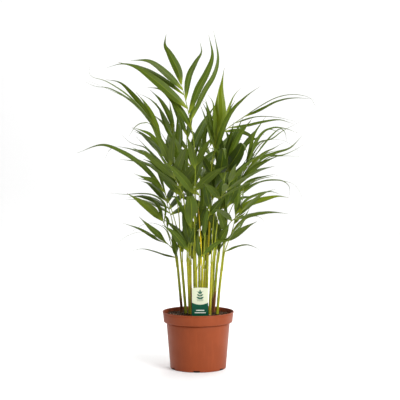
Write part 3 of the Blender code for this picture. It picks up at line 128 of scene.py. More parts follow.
# ---------------------------------------------------------------- fronds
# Each frond: name, shoot number, points of its rachis after the mouth (x, y, z), leaflets.
# Each leaflet: y of its tip, width, roll in degrees (0 faces the front), then the x, z points
# it passes through; the first point picks the place on the rachis where it grows.
# All lengths in centimetres.
FRONDS = (
    ("tall", 4, ((-0.6, -1.5, 40), (-0.9, -2, 53), (-2.4, -2, 62), (-4.0, -2, 68.2)), (
        (-2, 2.0, 0, -3.9, 68, -4.8, 71.5, -6.8, 75.5, -7.9, 77.5, -7.6, 80.2),
        (-5, 1.7, 20, -4.0, 67.6, -7.5, 70.8, -11.5, 73.6, -16, 73.8),
        (1, 1.2, 30, -3.6, 66.3, -8.5, 69.6, -13, 72, -18, 73.2, -22, 72.3),
        (-4, 2.1, 0, -2.5, 62.8, -6, 65.6, -10, 69, -14.5, 72.1, -19, 73.4),
        (2, 1.5, 10, -3.3, 65.3, -2.2, 70, -0.6, 73.5, 0.8, 76, 0.4, 78.6),
        (-4, 1.8, 10, -2.2, 62, 0, 67, 2.1, 71, 3.4, 75, 2.5, 79.8),
        (2, 1.3, 20, -1.7, 59.5, 1.4, 66.3, 3.9, 70.6, 4.8, 75, 3.7, 81.2),
        (0, 1.6, 15, -1.4, 57.5, -4.5, 62.5, -8.5, 66.8, -12.2, 67.6),
    )),
    ("left_high", 1, ((-4.8, 2, 38), (-6.6, 3, 48), (-8.4, 3, 54), (-10.6, 3, 58.8)), (
        (6, 1.3, 10, -10.4, 58.4, -13, 62.4, -16, 66, -19, 68.8, -22.5, 69.6),
        (2, 0.8, 60, -10.2, 57.8, -13.8, 62.6, -17.5, 66.2, -22, 69, -25, 69.9, -26.1, 70.8, -26, 72.6),
        (9, 0.9, 50, -10.4, 58.2, -14, 62.5, -18, 65.6, -22, 67.6, -25.2, 68.0, -27.8, 69),
        (0, 0.8, 60, -9.6, 56.8, -13, 61, -17, 64.8, -21, 66.9, -26, 69),
        (10, 1.1, 30, -9.8, 57.3, -11.6, 60.8, -13.2, 64, -15.4, 66.6),
        (-3, 1.1, 30, -9.2, 56, -10.5, 60, -12.4, 63.5, -14.8, 66.3),
        (0, 0.9, 45, -8.9, 55.4, -11.2, 58.4, -13.2, 59.1, -15, 58.2, -16.4, 56),
        (-2, 1.4, 20, -8.0, 53.2, -11, 55.9, -13.5, 57.3, -15.6, 58),
    )),
    ("left_back", 3, ((-3.2, 4, 38), (-4.6, 6, 48), (-5.8, 7, 54), (-6.3, 8, 58)), (
        (9, 1.4, 10, -5.9, 54.5, -7.6, 58, -9, 61.3, -10.4, 64),
        (12, 1.3, 20, -6.3, 57.5, -7.2, 61, -9.3, 64.6, -12.2, 67.4),
        (12, 0.8, 45, -6.2, 57, -8.8, 61.5, -11.5, 64.6, -14.9, 66.4),
        (9, 1.3, 25, -6.2, 57.8, -6.7, 61, -7.2, 64.5),
        (6, 1.2, 10, -5.6, 53, -5.0, 57, -5.2, 61.3),
        (8, 1.0, 30, -5.0, 50.5, -4.2, 55, -4.6, 59.5, -6, 62.6),
    )),
    ("middle_high", 9, ((3.0, 0.5, 38), (3.2, 1, 48), (4.6, 1, 56.5)), (
        (1, 1.7, 5, 4.6, 56.4, 5.9, 61, 5.6, 67, 6.3, 72.3),
        (3, 1.5, 15, 4.5, 56, 4.5, 61.5, 4.9, 66, 5.3, 68.4),
        (-2, 1.1, 30, 4.3, 55, 3.9, 61.5, 3.5, 64, 2.4, 65.7),
        (5, 1.1, 30, 4.0, 54, 2.9, 60.8, 2.0, 63.7, 1.0, 64.5),
        (1, 0.9, 35, 3.8, 53, 1.8, 60, 0.4, 63.7),
        (5, 1.0, 30, 4.6, 56.2, 7.6, 63, 9, 66, 10.8, 67.8),
        (-3, 1.7, 10, 4.4, 55.2, 7.2, 60.5, 11, 65, 14.8, 67.8),
    )),
    ("right_high", 5, ((-1.6, 4, 40), (-1.0, 4, 48), (2.0, 4.0, 52.4), (6, 4, 56.8), (11.5, 2, 60.9)), (
        (-4, 0.9, 55, 11, 60.7, 15, 62.2, 19, 64.2, 23, 65, 27.6, 64.7),
        (4, 0.7, 70, 10.4, 60.4, 15, 63, 19, 65.1, 23, 65.9, 27, 65.2, 28.5, 63.2),
        (0, 0.6, 70, 9.6, 59.9, 14, 60.5, 19, 60.4, 23.6, 59.4),
        (8, 0.9, 40, 7.5, 58, 12, 58.4, 16, 59.3, 20, 59.8, 23.5, 58.8),
        (8, 1.3, 20, 3.0, 53.4, 3.4, 57, 2.6, 61, 1.0, 64.2),
        (9, 1.2, 20, 1.6, 52, 1.6, 56, 3.2, 60, 6.0, 63),
        (9, 1.2, 30, 6.5, 57.2, 10, 57, 13.4, 55.5, 15.5, 53),
    )),
    ("right_front", 10, ((4.3, -4, 33), (5.1, -5, 39), (6.1, -6, 45), (7.1, -6.5, 50)), (
        (-5, 1.6, 10, 6.6, 47, 7.9, 54, 10.6, 60.4),
        (-8, 1.5, 10, 7.0, 49.3, 9.4, 55.5, 12.7, 60.2),
        (-17, 3.1, 0, 6.8, 47.8, 9.2, 52, 10.3, 54.3, 11.2, 52.3),
        (-14, 1.6, 20, 6.2, 45.6, 6.0, 49, 4.6, 52.5, 2.4, 53.5),
    )),
    ("right_arm", 11, ((5.2, 1.5, 34), (7.6, 1.5, 40), (10.0, 1, 45.5), (13, 1, 50)), (
        (-3, 1.0, 20, 11.4, 47.6, 12.4, 52, 13.4, 56.3, 16.2, 60.7),
        (4, 1.0, 30, 12.2, 48.8, 13.5, 53.5, 16.5, 57.4, 19.9, 56.8),
        (6, 0.8, 45, 12.4, 49.2, 15, 55.6, 18, 57.8, 21.3, 57.7, 24.6, 56.6),
        (8, 0.7, 50, 12.6, 49.4, 16.5, 54.4, 19.8, 57.5, 21.3, 56.8, 21.8, 54.6),
        (-2, 0.7, 55, 11.8, 48.4, 14, 53.8, 17.5, 55.3, 20, 57.2, 23.6, 59.2),
        (2, 0.8, 50, 12.8, 49.8, 15, 53.8, 19, 55, 22, 54.3, 24.8, 52.2),
        (-4, 1.3, 15, 12.2, 49.2, 15, 51.2, 18, 53.1, 20.2, 54.5),
        (0, 0.9, 40, 12.9, 49.9, 16, 51, 19, 52, 22.3, 53.2, 25.2, 56.2),
        (3, 0.8, 45, 12.5, 49.4, 16, 50.7, 20, 51.2, 23, 52.3, 25.6, 53.8),
        (-6, 1.4, 20, 10.3, 46, 13, 47.9, 16, 50, 19.6, 51.6),
        (5, 0.6, 60, 12, 48.6, 16, 50, 20, 51, 24.8, 50.9),
    )),
    ("right_middle", 12, ((6.0, 4, 32), (8.0, 4, 38), (10.4, 3, 42.4)), (
        (0, 0.9, 40, 10.3, 42.4, 13, 45.2, 16, 46.2, 18.6, 46.8),
        (-3, 0.8, 50, 10.4, 42.2, 14, 44.5, 18, 45.3, 21.6, 45, 23.6, 43.8, 24.6, 41.6),
        (6, 0.6, 60, 10.2, 42.2, 14, 44.9, 19.6, 46.3),
        (9, 0.7, 50, 9.8, 41.6, 15, 44.5, 20, 45, 22.4, 43.6, 22.7, 41.2),
        (9, 1.0, 30, 9.2, 40.4, 11.5, 44, 14.2, 45.5, 14.4, 44.2),
        (8, 1.2, 20, 9.6, 41.2, 10.2, 46, 12.6, 50, 15.6, 52.4),
    )),
    ("right_low", 13, ((6.4, -1.2, 28), (8.1, -1.5, 33), (9.2, -1.5, 37.6)), (
        (-4, 1.5, 10, 9.1, 37.5, 12, 39.7, 16, 41, 19, 41.7, 21.6, 41.4),
        (2, 0.9, 35, 9.0, 37.3, 11.5, 40.4, 14.5, 41.9, 17.6, 42.5, 20, 41.8),
        (-6, 0.8, 30, 9.0, 37, 12, 39, 14, 40.8, 16, 42),
        (-3, 0.9, 30, 8.6, 34.9, 9.6, 36.2, 11.6, 37.9),
        (4, 0.8, 35, 8.0, 32.6, 10.2, 34.9, 11.8, 37, 12.8, 39),
        (-6, 0.7, 45, 8.2, 33.2, 10.6, 35.8, 13.2, 37, 15, 36.6, 15.7, 35.6),
        (7, 0.7, 45, 7.8, 32, 10, 33.6, 11.4, 35.4, 13.4, 36.5),
        (-4, 0.7, 50, 6.3, 27.8, 9, 29.4, 11.5, 30, 13.4, 29.6, 15.3, 28.5),
        (5, 1.6, 10, 8.8, 36, 9.6, 40, 9.8, 43.5, 11.4, 46.8),
    )),
    ("left_arm", 1, ((-5.0, -1, 33), (-6.6, -2, 39), (-8.8, -3, 44.2)), (
        (-3, 1.2, 25, -8.7, 44.1, -11, 46.8, -14, 49.6, -18, 52.2, -23, 53.9, -28.8, 52),
        (2, 0.9, 30, -8.6, 43.8, -12, 47.4, -16, 51, -20, 52.9, -21.4, 52.6, -22.6, 50.6),
        (-5, 1.1, 15, -8.6, 43.7, -10.5, 45.4, -13, 46.3, -15.1, 47.2),
        (0, 0.8, 30, -8.3, 43.2, -11, 45, -14.4, 45.8),
        (6, 1.0, 30, -8.7, 43.9, -10, 49, -12.6, 52, -15.4, 52.6, -18.4, 53),
        (6, 0.8, 35, -8.4, 43.4, -9.8, 49, -12.5, 52.8, -16.5, 54.1, -19, 56),
    )),
    ("left_inner", 3, ((-3.4, 0, 34), (-4.6, -3, 40), (-5.4, -4, 44.6)), (
        (-6, 2.4, 0, -4.9, 42, -7.2, 45.8, -9.6, 49, -12.9, 50.6),
        (-2, 0.8, 35, -5.2, 43.6, -8, 48.6, -11, 51.8, -14.9, 55.8),
        (-7, 0.8, 35, -5.4, 44.4, -7.4, 49, -9.6, 52.3, -11.8, 55.4),
        (-3, 1.5, 15, -5.4, 44.5, -6.0, 49, -7.4, 54, -9.4, 57.5),
        (-10, 1.7, 10, -5.0, 42.5, -3.8, 47, -4.4, 51, -6.2, 54.8),
        (-9, 1.3, 20, -5.3, 44.2, -3.8, 49, -2.4, 52.4, -0.9, 57),
    )),
    ("left_low", 0, ((-5.9, 2.5, 28.6), (-7.2, 2, 32.4), (-8.7, 2, 35.6)), (
        (0, 2.0, 0, -8.6, 35.5, -11, 37.9, -14, 40.2, -17.2, 42.2),
        (4, 1.2, 15, -8.5, 35.4, -9.4, 38.4, -11.4, 40.7, -14.4, 41.6),
        (7, 0.7, 60, -8.4, 35, -8.0, 39, -10.5, 41.4, -14, 41.9, -18, 41.6, -21.6, 41.9),
        (-3, 1.0, 30, -7.6, 33.2, -7.2, 35, -7.6, 36.5, -8.4, 37.6),
    )),
    ("left_foot", 0, ((-6.2, 0.5, 27.4), (-7.8, -1, 30)), (
        (-3, 1.5, 5, -7.6, 29.8, -9.4, 32.2, -11.4, 34, -14.2, 36.8),
        (1, 0.9, 30, -7.7, 29.9, -10, 31.2, -13, 33, -15, 33.9, -18.2, 34.9),
        (-6, 0.6, 50, -7.4, 29.5, -11, 32.7, -14, 33.6, -17, 32.7, -19, 31.1),
        (6, 0.7, 45, -6.9, 28.5, -7.6, 32.8, -10, 34.4, -13, 34.4, -16.2, 32.4),
        (-5, 1.6, 10, -5.6, 26, -5.5, 29, -6.4, 33.2),
        (5, 0.6, 60, -5.5, 25.6, -8, 26.8, -11, 27.6, -14, 28, -17.2, 27.2),
    )),
    ("front_left", 2, ((-1.7, -3.6, 30), (-1.6, -5.2, 35)), (
        (-15, 3.3, 0, -1.7, 34.6, -1.5, 38.6, -1.9, 42.2, -2.4, 39.8),
        (-9, 1.9, 10, -2.2, 34.2, -4.0, 39.4, -5.6, 41.8, -7.8, 40.6),
        (-7, 2.0, 5, -2.3, 30, -2.8, 34.4, -4.0, 39.2),
        (-7, 1.6, 10, -2.4, 29, -4.2, 32.6, -6.4, 34.8, -8.6, 36.4),
    )),
    ("front_low", 4, ((-0.9, -1.8, 31), (-0.4, -3, 36)), (
        (-5, 1.5, 0, -0.9, 28, -1.5, 30.4, -0.6, 34.4),
        (-5, 1.4, 5, -0.6, 33, 0.8, 36, 2.0, 40.2),
        (-4, 1.8, 0, -0.4, 35.6, -1.8, 40, -2.0, 45, -1.2, 49.6),
        (-1, 1.9, 5, -0.5, 35, 1.2, 39.4, 1.0, 44, 0.4, 47.6),
    )),
    ("front_middle", 7, ((1.7, -4.4, 33), (3.0, -5.6, 39), (4.4, -6.6, 44.5)), (
        (-14, 2.9, 0, 4.4, 44.4, 5.4, 49, 5.9, 53.3, 6.3, 51),
        (-11, 2.3, 0, 4.0, 43, 3.2, 45, 2.4, 47.6, 2.2, 45),
        (-11, 2.4, 0, 4.2, 43.6, 5.0, 45.5, 5.4, 47.6, 5.8, 45),
        (-8, 1.4, 0, 1.5, 32, 1.7, 36, 2.6, 40.4),
        (-10, 1.8, 10, 2.8, 38.4, 2.2, 42, 1.7, 44.6, 2.4, 47.6),
        (-7, 1.8, 10, 2.6, 37.4, 5.0, 40.4, 6.8, 42.4),
    )),
    ("centre", 4, ((-1.4, 0.5, 36), (-2.4, 1, 46)), (
        (0, 2.2, 5, -2.3, 45, -4.2, 49.5, -5.4, 54, -8.0, 59),
        (-1, 2.2, 0, -2.4, 45.8, -2.6, 50, -2.8, 56.4),
        (-3, 2.2, 5, -2.3, 45.4, -0.6, 52.4, 1.6, 57.6, 3.8, 62),
        (4, 1.8, 10, -2.0, 42.6, -0.2, 47, 0.6, 51.6, 0.2, 56),
        (3, 1.7, 10, -1.9, 41.6, -3.6, 44.6, -4.2, 49.6),
    )),
    ("right_inner", 11, ((5.0, 0.5, 33), (7.0, -0.5, 39)), (
        (-2, 2.2, 0, 6.9, 38.8, 8.6, 42.6, 9.6, 46.6, 11.6, 50.6),
        (-4, 1.7, 10, 6.8, 38.4, 7.4, 41.8, 8.4, 45.8, 8.6, 49),
        (2, 2.0, 10, 6.6, 37.8, 5.8, 42, 6.8, 46.8, 8.6, 50),
        (-2, 1.8, 10, 5.2, 33.4, 6.2, 36.4, 7.0, 40),
        (4, 1.9, 0, 4.8, 31.8, 3.8, 35.4, 3.6, 39.6),
    )),
    ("right_foot", 10, ((4.0, -3.2, 28.5), (5.0, -3.6, 31)), (
        (-6, 1.3, 10, 3.8, 28, 4.4, 30.2, 6.6, 31.4),
        (-5, 1.9, 0, 4.9, 30.6, 6.0, 32.6, 7.6, 35.6),
        (-3, 1.6, 10, 4.8, 30.2, 4.0, 33.4, 4.2, 37.6),
        (-6, 1.3, 15, 5.0, 31, 7.4, 32, 9.2, 35, 11.2, 38.2),
    )),
    ("back_foot", 6, ((0.2, 2.5, 28), (0.4, 3.4, 31)), (
        (5, 2.0, 0, 0.4, 30.8, 2.2, 33.8, 3.2, 38.6),
        (5, 2.0, 0, 0.3, 30, -1.6, 34, -3.2, 39),
        (4, 1.9, 0, 0.4, 30.9, 0.6, 35.6, 0.2, 41),
    )),
    ("low_left", 2, ((-2.3, -3.6, 28.2), (-2.0, -4.6, 31.0)), (
        (-6, 1.7, 10, -2.3, 28.6, -4.2, 31.0, -6.2, 33.4, -8.6, 35.2),
        (-6, 1.3, 10, -2.1, 30.2, -1.5, 32.4, -0.8, 35.4),
    )),
    ("low_right", 14, ((0.5, -5.4, 26.2), (1.2, -6.0, 27.8)), (
        (-8, 1.2, 25, 1.1, 27.6, 3.2, 29.8, 5.4, 31.2, 8.0, 31.6),
        (-7, 1.3, 10, 0.7, 26.8, 0.0, 29.8, -0.2, 33.4),
    )),
    ("low_back_left", 5, ((-0.9, 5.2, 25.0), (-1.2, 5.6, 27.0)), (
        (7, 1.9, 0, -0.9, 25.2, -1.8, 28.4, -2.6, 33),
        (6, 1.8, 0, -1.2, 26.9, -1.0, 30.4, -0.2, 35),
        (7, 1.7, 10, -1.0, 26.0, 0.2, 28.8, 0.8, 32.6),
    )),
    ("low_back_right", 8, ((1.9, 4.6, 25.2), (2.3, 5.0, 27.2)), (
        (6, 1.9, 0, 1.9, 25.4, 1.4, 29, 1.2, 33),
        (6, 1.8, 0, 2.3, 27.1, 2.6, 30.8, 3.4, 34.8),
        (7, 1.7, 5, 2.1, 26.2, 3.4, 28.8, 5.0, 32),
    )),
    ("low_right_back", 12, ((5.0, 4.0, 27.2), (5.4, 3.8, 29.2)), (
        (5, 1.9, 5, 5.2, 28, 4.4, 31.6, 4.6, 35.8),
        (4, 1.8, 0, 5.4, 29.1, 6.4, 32.4, 7.2, 36.6),
        (5, 1.5, 10, 5.1, 27.6, 6.8, 30.4, 9.4, 33.2),
    )),
    ("low_left_back", 1, ((-3.9, 1.6, 27.6), (-3.6, 2.2, 29.6)), (
        (3, 1.8, 0, -3.9, 27.9, -4.4, 31, -5.4, 34.6),
        (2, 1.8, 5, -3.6, 29.5, -3.2, 33, -3.4, 37.4),
        (3, 1.6, 5, -3.8, 28.6, -2.4, 31.2, -1.8, 34.6),
    )),
)

# ---------------------------------------------------------------- fronds grown by rule
# Name, shoot, tip of the rachis (x, y, z), number of leaflet pairs, leaflet length and width,
# angle between leaflet and rachis at the foot and at the tip, droop. Centimetres and degrees.
RULE_FRONDS = (
    ("back_1", 5, (-3.0, 15, 57), 3, 17, 1.7, 52, 18, 0.10),
    ("back_2", 8, (4.0, 16, 55), 3, 17, 1.7, 52, 18, 0.10),
    ("back_3", 12, (9.5, 14, 50), 3, 16, 1.6, 50, 20, 0.14),
    ("back_4", 3, (-8.5, 14, 51), 3, 16, 1.6, 50, 20, 0.14),
    ("back_5", 6, (0.5, 11, 46), 3, 15, 1.9, 50, 20, 0.12),
    ("back_6", 8, (3.5, 12, 41), 2, 14, 1.9, 50, 24, 0.18),
    ("back_7", 0, (-8.0, 12, 40), 3, 14, 1.6, 50, 22, 0.20),
    ("front_1", 2, (-6.6, -10, 50), 3, 14, 1.9, 42, 16, 0.10),
    ("front_2", 14, (-0.6, -12, 50), 2, 14, 2.1, 36, 16, 0.12),
    ("front_3", 10, (7.6, -12, 46), 3, 14, 1.8, 42, 16, 0.12),
    ("front_5", 13, (10.5, -9, 39), 2, 13, 1.6, 44, 20, 0.16),
    ("middle_1", 11, (6.4, 4, 49), 3, 14, 1.8, 40, 16, 0.06),
    ("middle_5", 13, (6.8, -4, 33), 2, 11, 1.9, 36, 18, 0.08),
)

# Name, shoot, tip (x, y, z) in centimetres.
SPEARS = (
    ("spear_low", 6, (0.6, 1.3, 31.5)),
    ("spear_middle", 7, (0.1, -4.6, 39.0)),
    ("spear_high", 9, (2.9, -1.2, 42.0)),
)

# ---------------------------------------------------------------- places
def table_point(x, y, z):
    """A point of the growth table, in metres, stretched to the plant's driving sizes."""
    side = CM * PLANT_SPREAD / TABLE_SPREAD
    rise = (PLANT_TOP - SOIL_LEVEL) / (TABLE_TOP - TABLE_SOIL)
    return Vector((x * side, y * side, SOIL_LEVEL + (z * CM - TABLE_SOIL) * rise))


def smooth_path(points, count):
    """count + 1 evenly spaced points along a smooth curve through the given points."""
    fine = []
    padded = [points[0] * 2 - points[1], *points, points[-1] * 2 - points[-2]]
    for a, b, c, d in zip(padded, padded[1:], padded[2:], padded[3:]):
        for i in range(12):
            t = i / 12
            fine.append(
                0.5 * ((2 * b) + (c - a) * t + (2 * a - 5 * b + 4 * c - d) * t**2
                       + (3 * b - a - 3 * c + d) * t**3)
            )
    fine.append(points[-1].copy())
    reach = [0.0]
    for a, b in zip(fine, fine[1:]):
        reach.append(reach[-1] + (b - a).length)
    path = []
    seg = 0
    for i in range(count + 1):
        want = reach[-1] * i / count
        while seg < len(reach) - 2 and reach[seg + 1] < want:
            seg += 1
        span = max(reach[seg + 1] - reach[seg], 1e-9)
        path.append(fine[seg].lerp(fine[seg + 1], (want - reach[seg]) / span))
    return path


def tangents_of(path):
    result = []
    for i in range(len(path)):
        low = path[max(i - 1, 0)]
        high = path[min(i + 1, len(path) - 1)]
        result.append((high - low).normalized())
    return result


def across(direction, hint):
    """The part of hint that is square to direction, at length 1."""
    flat = hint - direction * hint.dot(direction)
    if flat.length < 1e-4:
        flat = direction.orthogonal()
    return flat.normalized()


# ---------------------------------------------------------------- what has grown so far
class Thicket:
    """Surfaces already placed, kept so that nothing new grows through them."""

    def __init__(self):
        self.kept = []

    def corners(self, points):
        low = [min(p[i] for p in points) for i in range(3)]
        high = [max(p[i] for p in points) for i in range(3)]
        return low, high

    def add(self, points, faces):
        self.kept.append((*self.corners(points), BVHTree.FromPolygons(points, faces)))

    def meets(self, points, faces):
        low, high = self.corners(points)
        tree = None
        for other_low, other_high, other in self.kept:
            if any(low[i] > other_high[i] or high[i] < other_low[i] for i in range(3)):
                continue
            tree = tree or BVHTree.FromPolygons(points, faces)
            if tree.overlap(other):
                return True
        return False


def sleeve(rings):
    """A closed skin over rings of points, as points and triangles, each wall split both ways."""
    points = [p for ring in rings for p in ring]
    faces = []
    sides = len(rings[0])
    for i in range(len(rings) - 1):
        for j in range(sides):
            k = (j + 1) % sides
            a, b = i * sides + j, i * sides + k
            c, d = b + sides, a + sides
            faces += [(a, b, c), (a, c, d), (a, b, d), (b, c, d)]
    last = (len(rings) - 1) * sides
    for j in range(1, sides - 1):
        faces.append((0, j + 1, j))
        faces.append((last, last + j, last + j + 1))
    return points, faces


def round_ring(centre, direction, radius, sides):
    u = across(direction, TO_FRONT)
    v = direction.cross(u)
    ring = []
    for i in range(sides):
        angle = ROUND * (i + 0.5) / sides
        ring.append(centre + u * (radius * math.cos(angle)) + v * (radius * math.sin(angle)))
    return ring


def tube_rings(path, radii, sides):
    return [round_ring(p, d, r, sides) for p, d, r in zip(path, tangents_of(path), radii)]


def blade_ring(centre, wide, thin, width, thickness):
    w = wide * (width / 2)
    t = thin * (thickness / 2)
    return [centre + w + t, centre - w + t, centre - w - t, centre + w - t]


# ---------------------------------------------------------------- leaflets
# Share of the full width along a leaflet, at even steps from foot to tip.
BLADE_WIDTHS = (0.30, 0.66, 0.90, 1.0, 0.98, 0.90, 0.78, 0.62, 0.44, 0.24, 0.07)
BLADE_FOOT_WIDTH = 0.0040
BLADE_FOOT_GAP = 0.0050


def blade_share(part):
    """Share of the full width at a part of the way along a leaflet."""
    place = part * (len(BLADE_WIDTHS) - 1)
    low = min(int(place), len(BLADE_WIDTHS) - 2)
    return BLADE_WIDTHS[low] + (BLADE_WIDTHS[low + 1] - BLADE_WIDTHS[low]) * (place - low)


class Leaflet:
    """One leaflet: the path it takes and how its blade turns along the way."""

    def __init__(self, path_points, width, face_to, roll, rachis_way, steps):
        self.points = path_points
        self.steps = steps
        self.width = width
        self.face_to = face_to
        self.roll = roll
        self.rachis_way = rachis_way

    def frames(self, steps):
        """(centre, wide, thin) at each step. The blade starts along the rachis and turns."""
        path = smooth_path(self.points, steps)
        ways = tangents_of(path)
        middle = steps // 2
        facing = across(ways[middle], self.face_to)
        wide = ways[middle].cross(facing)
        angle = math.radians(self.roll)
        wide = wide * math.cos(angle) + ways[middle].cross(wide) * math.sin(angle)
        wides = [wide] * (steps + 1)
        for i in range(middle + 1, steps + 1):
            wides[i] = across(ways[i], wides[i - 1])
        for i in range(middle - 1, -1, -1):
            wides[i] = across(ways[i], wides[i + 1])
        leads = [across(ways[0], self.rachis_way)]
        for way in ways[1:]:
            leads.append(across(way, leads[-1]))
        if leads[1].dot(wides[1]) < 0:
            wides = [-w for w in wides]
        result = []
        for i, (centre, way) in enumerate(zip(path, ways)):
            lead = leads[i]
            turn = math.atan2(way.dot(lead.cross(wides[i])), lead.dot(wides[i]))
            turn *= min(1.0, (i / steps) / 0.35)
            wide = lead * math.cos(turn) + way.cross(lead) * math.sin(turn)
            result.append((centre, wide, way.cross(wide)))
        return result

    def rings(self, extra):
        """Cross-sections of the blade, foot to tip. The first stands a little off the rachis."""
        out = []
        frames = self.frames(self.steps)
        for i, (centre, wide, thin) in enumerate(frames):
            width = max(self.width * blade_share(i / self.steps), 0.0009)
            thick = LEAFLET_THICKNESS * (0.6 if i == self.steps else 1.0)
            if i == 0:
                out_way = frames[1][0] - centre
                centre = centre + out_way * (BLADE_FOOT_GAP / out_way.length)
                width = min(width, BLADE_FOOT_WIDTH)
            out.append(blade_ring(centre, wide, thin, width + 2 * extra, thick + 2 * extra))
        return out

    def rooted_rings(self, extra):
        """The same cross-sections, with one more where the leaflet meets the rachis."""
        centre, wide, thin = self.frames(self.steps)[0]
        root = blade_ring(centre, wide, thin, BLADE_FOOT_WIDTH + 2 * extra, 0.002 + 2 * extra)
        return [root, *self.rings(extra)]


def free_leaflet(leaflet, thicket, own, rachis):
    """Tries small changes to the leaflet's depth and turn until it grows through nothing."""
    tries = [(0.0, 0.0, 1.0)]
    for step in range(1, 11):
        tries += [(0.006 * step, 0.0, 1.0), (-0.006 * step, 0.0, 1.0)]
        if step in (3, 6, 9):
            for turn in (22.0, -22.0, 45.0, -45.0):
                tries += [(0.006 * step, turn, 0.85), (-0.006 * step, turn, 0.85)]
    for step in (2, 5, 8, 11, 14):
        for turn in (60.0, -60.0, 90.0):
            tries += [(0.007 * step, turn, 0.6), (-0.007 * step, turn, 0.6)]
    start = leaflet.points
    roll = leaflet.roll
    width = leaflet.width
    for shift, turn, share in tries:
        moved = []
        for i, point in enumerate(start):
            part = (i / (len(start) - 1)) ** 0.8
            moved.append(point + leaflet.face_to * (shift * part))
        leaflet.points = moved
        leaflet.roll = roll + turn
        leaflet.width = width * share
        rings = leaflet.rooted_rings(LEAF_CLEARANCE / 2)
        if thicket.meets(*sleeve(rings)) or own.meets(*sleeve(rings[1:])):
            continue
        if not rachis.meets(*sleeve(rings[2:])):
            return True
    return False


# ---------------------------------------------------------------- fronds
KNOTS = 8
STEPS = 64


class Frond:
    """Petiole, rachis and leaflets, planned first and drawn as one body afterwards."""

    def __init__(self, name, mouth, path_points):
        self.name = name
        self.mouth = mouth
        self.points = path_points
        self.leaflets = []

    def knots(self):
        return smooth_path([self.mouth, *self.points], KNOTS)

    def path(self):
        """STEPS + 1 points along the straight runs between the knots."""
        knots = self.knots()
        each = STEPS // KNOTS
        path = []
        for a, b in zip(knots, knots[1:]):
            path += [a.lerp(b, i / each) for i in range(each)]
        return [*path, knots[-1]]

    def radius(self, share):
        return PETIOLE_RADIUS + (RACHIS_TIP_RADIUS - PETIOLE_RADIUS) * share

    def skin(self, extra):
        knots = self.knots()
        radii = [self.radius(i / KNOTS) * 1.15 + extra for i in range(KNOTS + 1)]
        return sleeve(tube_rings(knots, radii, 4))


def free_rachis(frond, thicket):
    """Moves the points of a petiole and rachis a little until it grows through nothing."""
    start = list(frond.points)
    for step in range(26):
        for turn in range(1 if step == 0 else 8):
            angle = math.pi * turn / 4 + step
            move = Vector((math.cos(angle), math.sin(angle), 0.0)) * (0.0011 * step)
            frond.points = [
                p + move * (1.0 if i < len(start) - 1 else 0.5) for i, p in enumerate(start)
            ]
            points, faces = frond.skin(LEAF_CLEARANCE / 2)
            if not thicket.meets(points, faces):
                return True
    return False


def rule_leaflets(frond, pairs, length, width, foot_angle, tip_angle, droop, chance):
    """Leaflets in pairs along the rachis, leaning forward more and more towards its tip."""
    path = frond.path()
    ways = tangents_of(path)
    out = []
    for pair in range(pairs):
        part = pair / max(pairs - 1, 1)
        for side in (-1, 1):
            share = 0.72 + 0.26 * part - (0.02 if side > 0 else 0.0)
            index = int(share * (len(path) - 1))
            way = ways[index]
            sideways = way.cross(WORLD_UP)
            if sideways.length < 0.2:
                sideways = way.cross(TO_FRONT)
            sideways.normalize()
            top = sideways.cross(way).normalized()
            spread = math.radians(foot_angle + (tip_angle - foot_angle) * part + chance.uniform(-5, 5))
            lean = math.radians(chance.uniform(4, 22))
            out_way = sideways * (side * math.cos(lean)) + top * math.sin(lean)
            heading = way * math.cos(spread) + out_way * math.sin(spread)
            size = length * (0.80 + 0.25 * math.sin(math.pi * (0.35 + 0.5 * part)))
            size *= chance.uniform(0.88, 1.08)
            foot = path[index]
            points = [foot]
            for part_out in (0.34, 0.68, 1.0):
                fall = droop * size * part_out**2.2 * 1.6
                points.append(foot + heading * (size * part_out) - WORLD_UP * fall)
            blade = width * chance.uniform(0.85, 1.12)
            out.append((index, Leaflet(points, blade, top, chance.uniform(-18, 18), way, 4)))
    return out


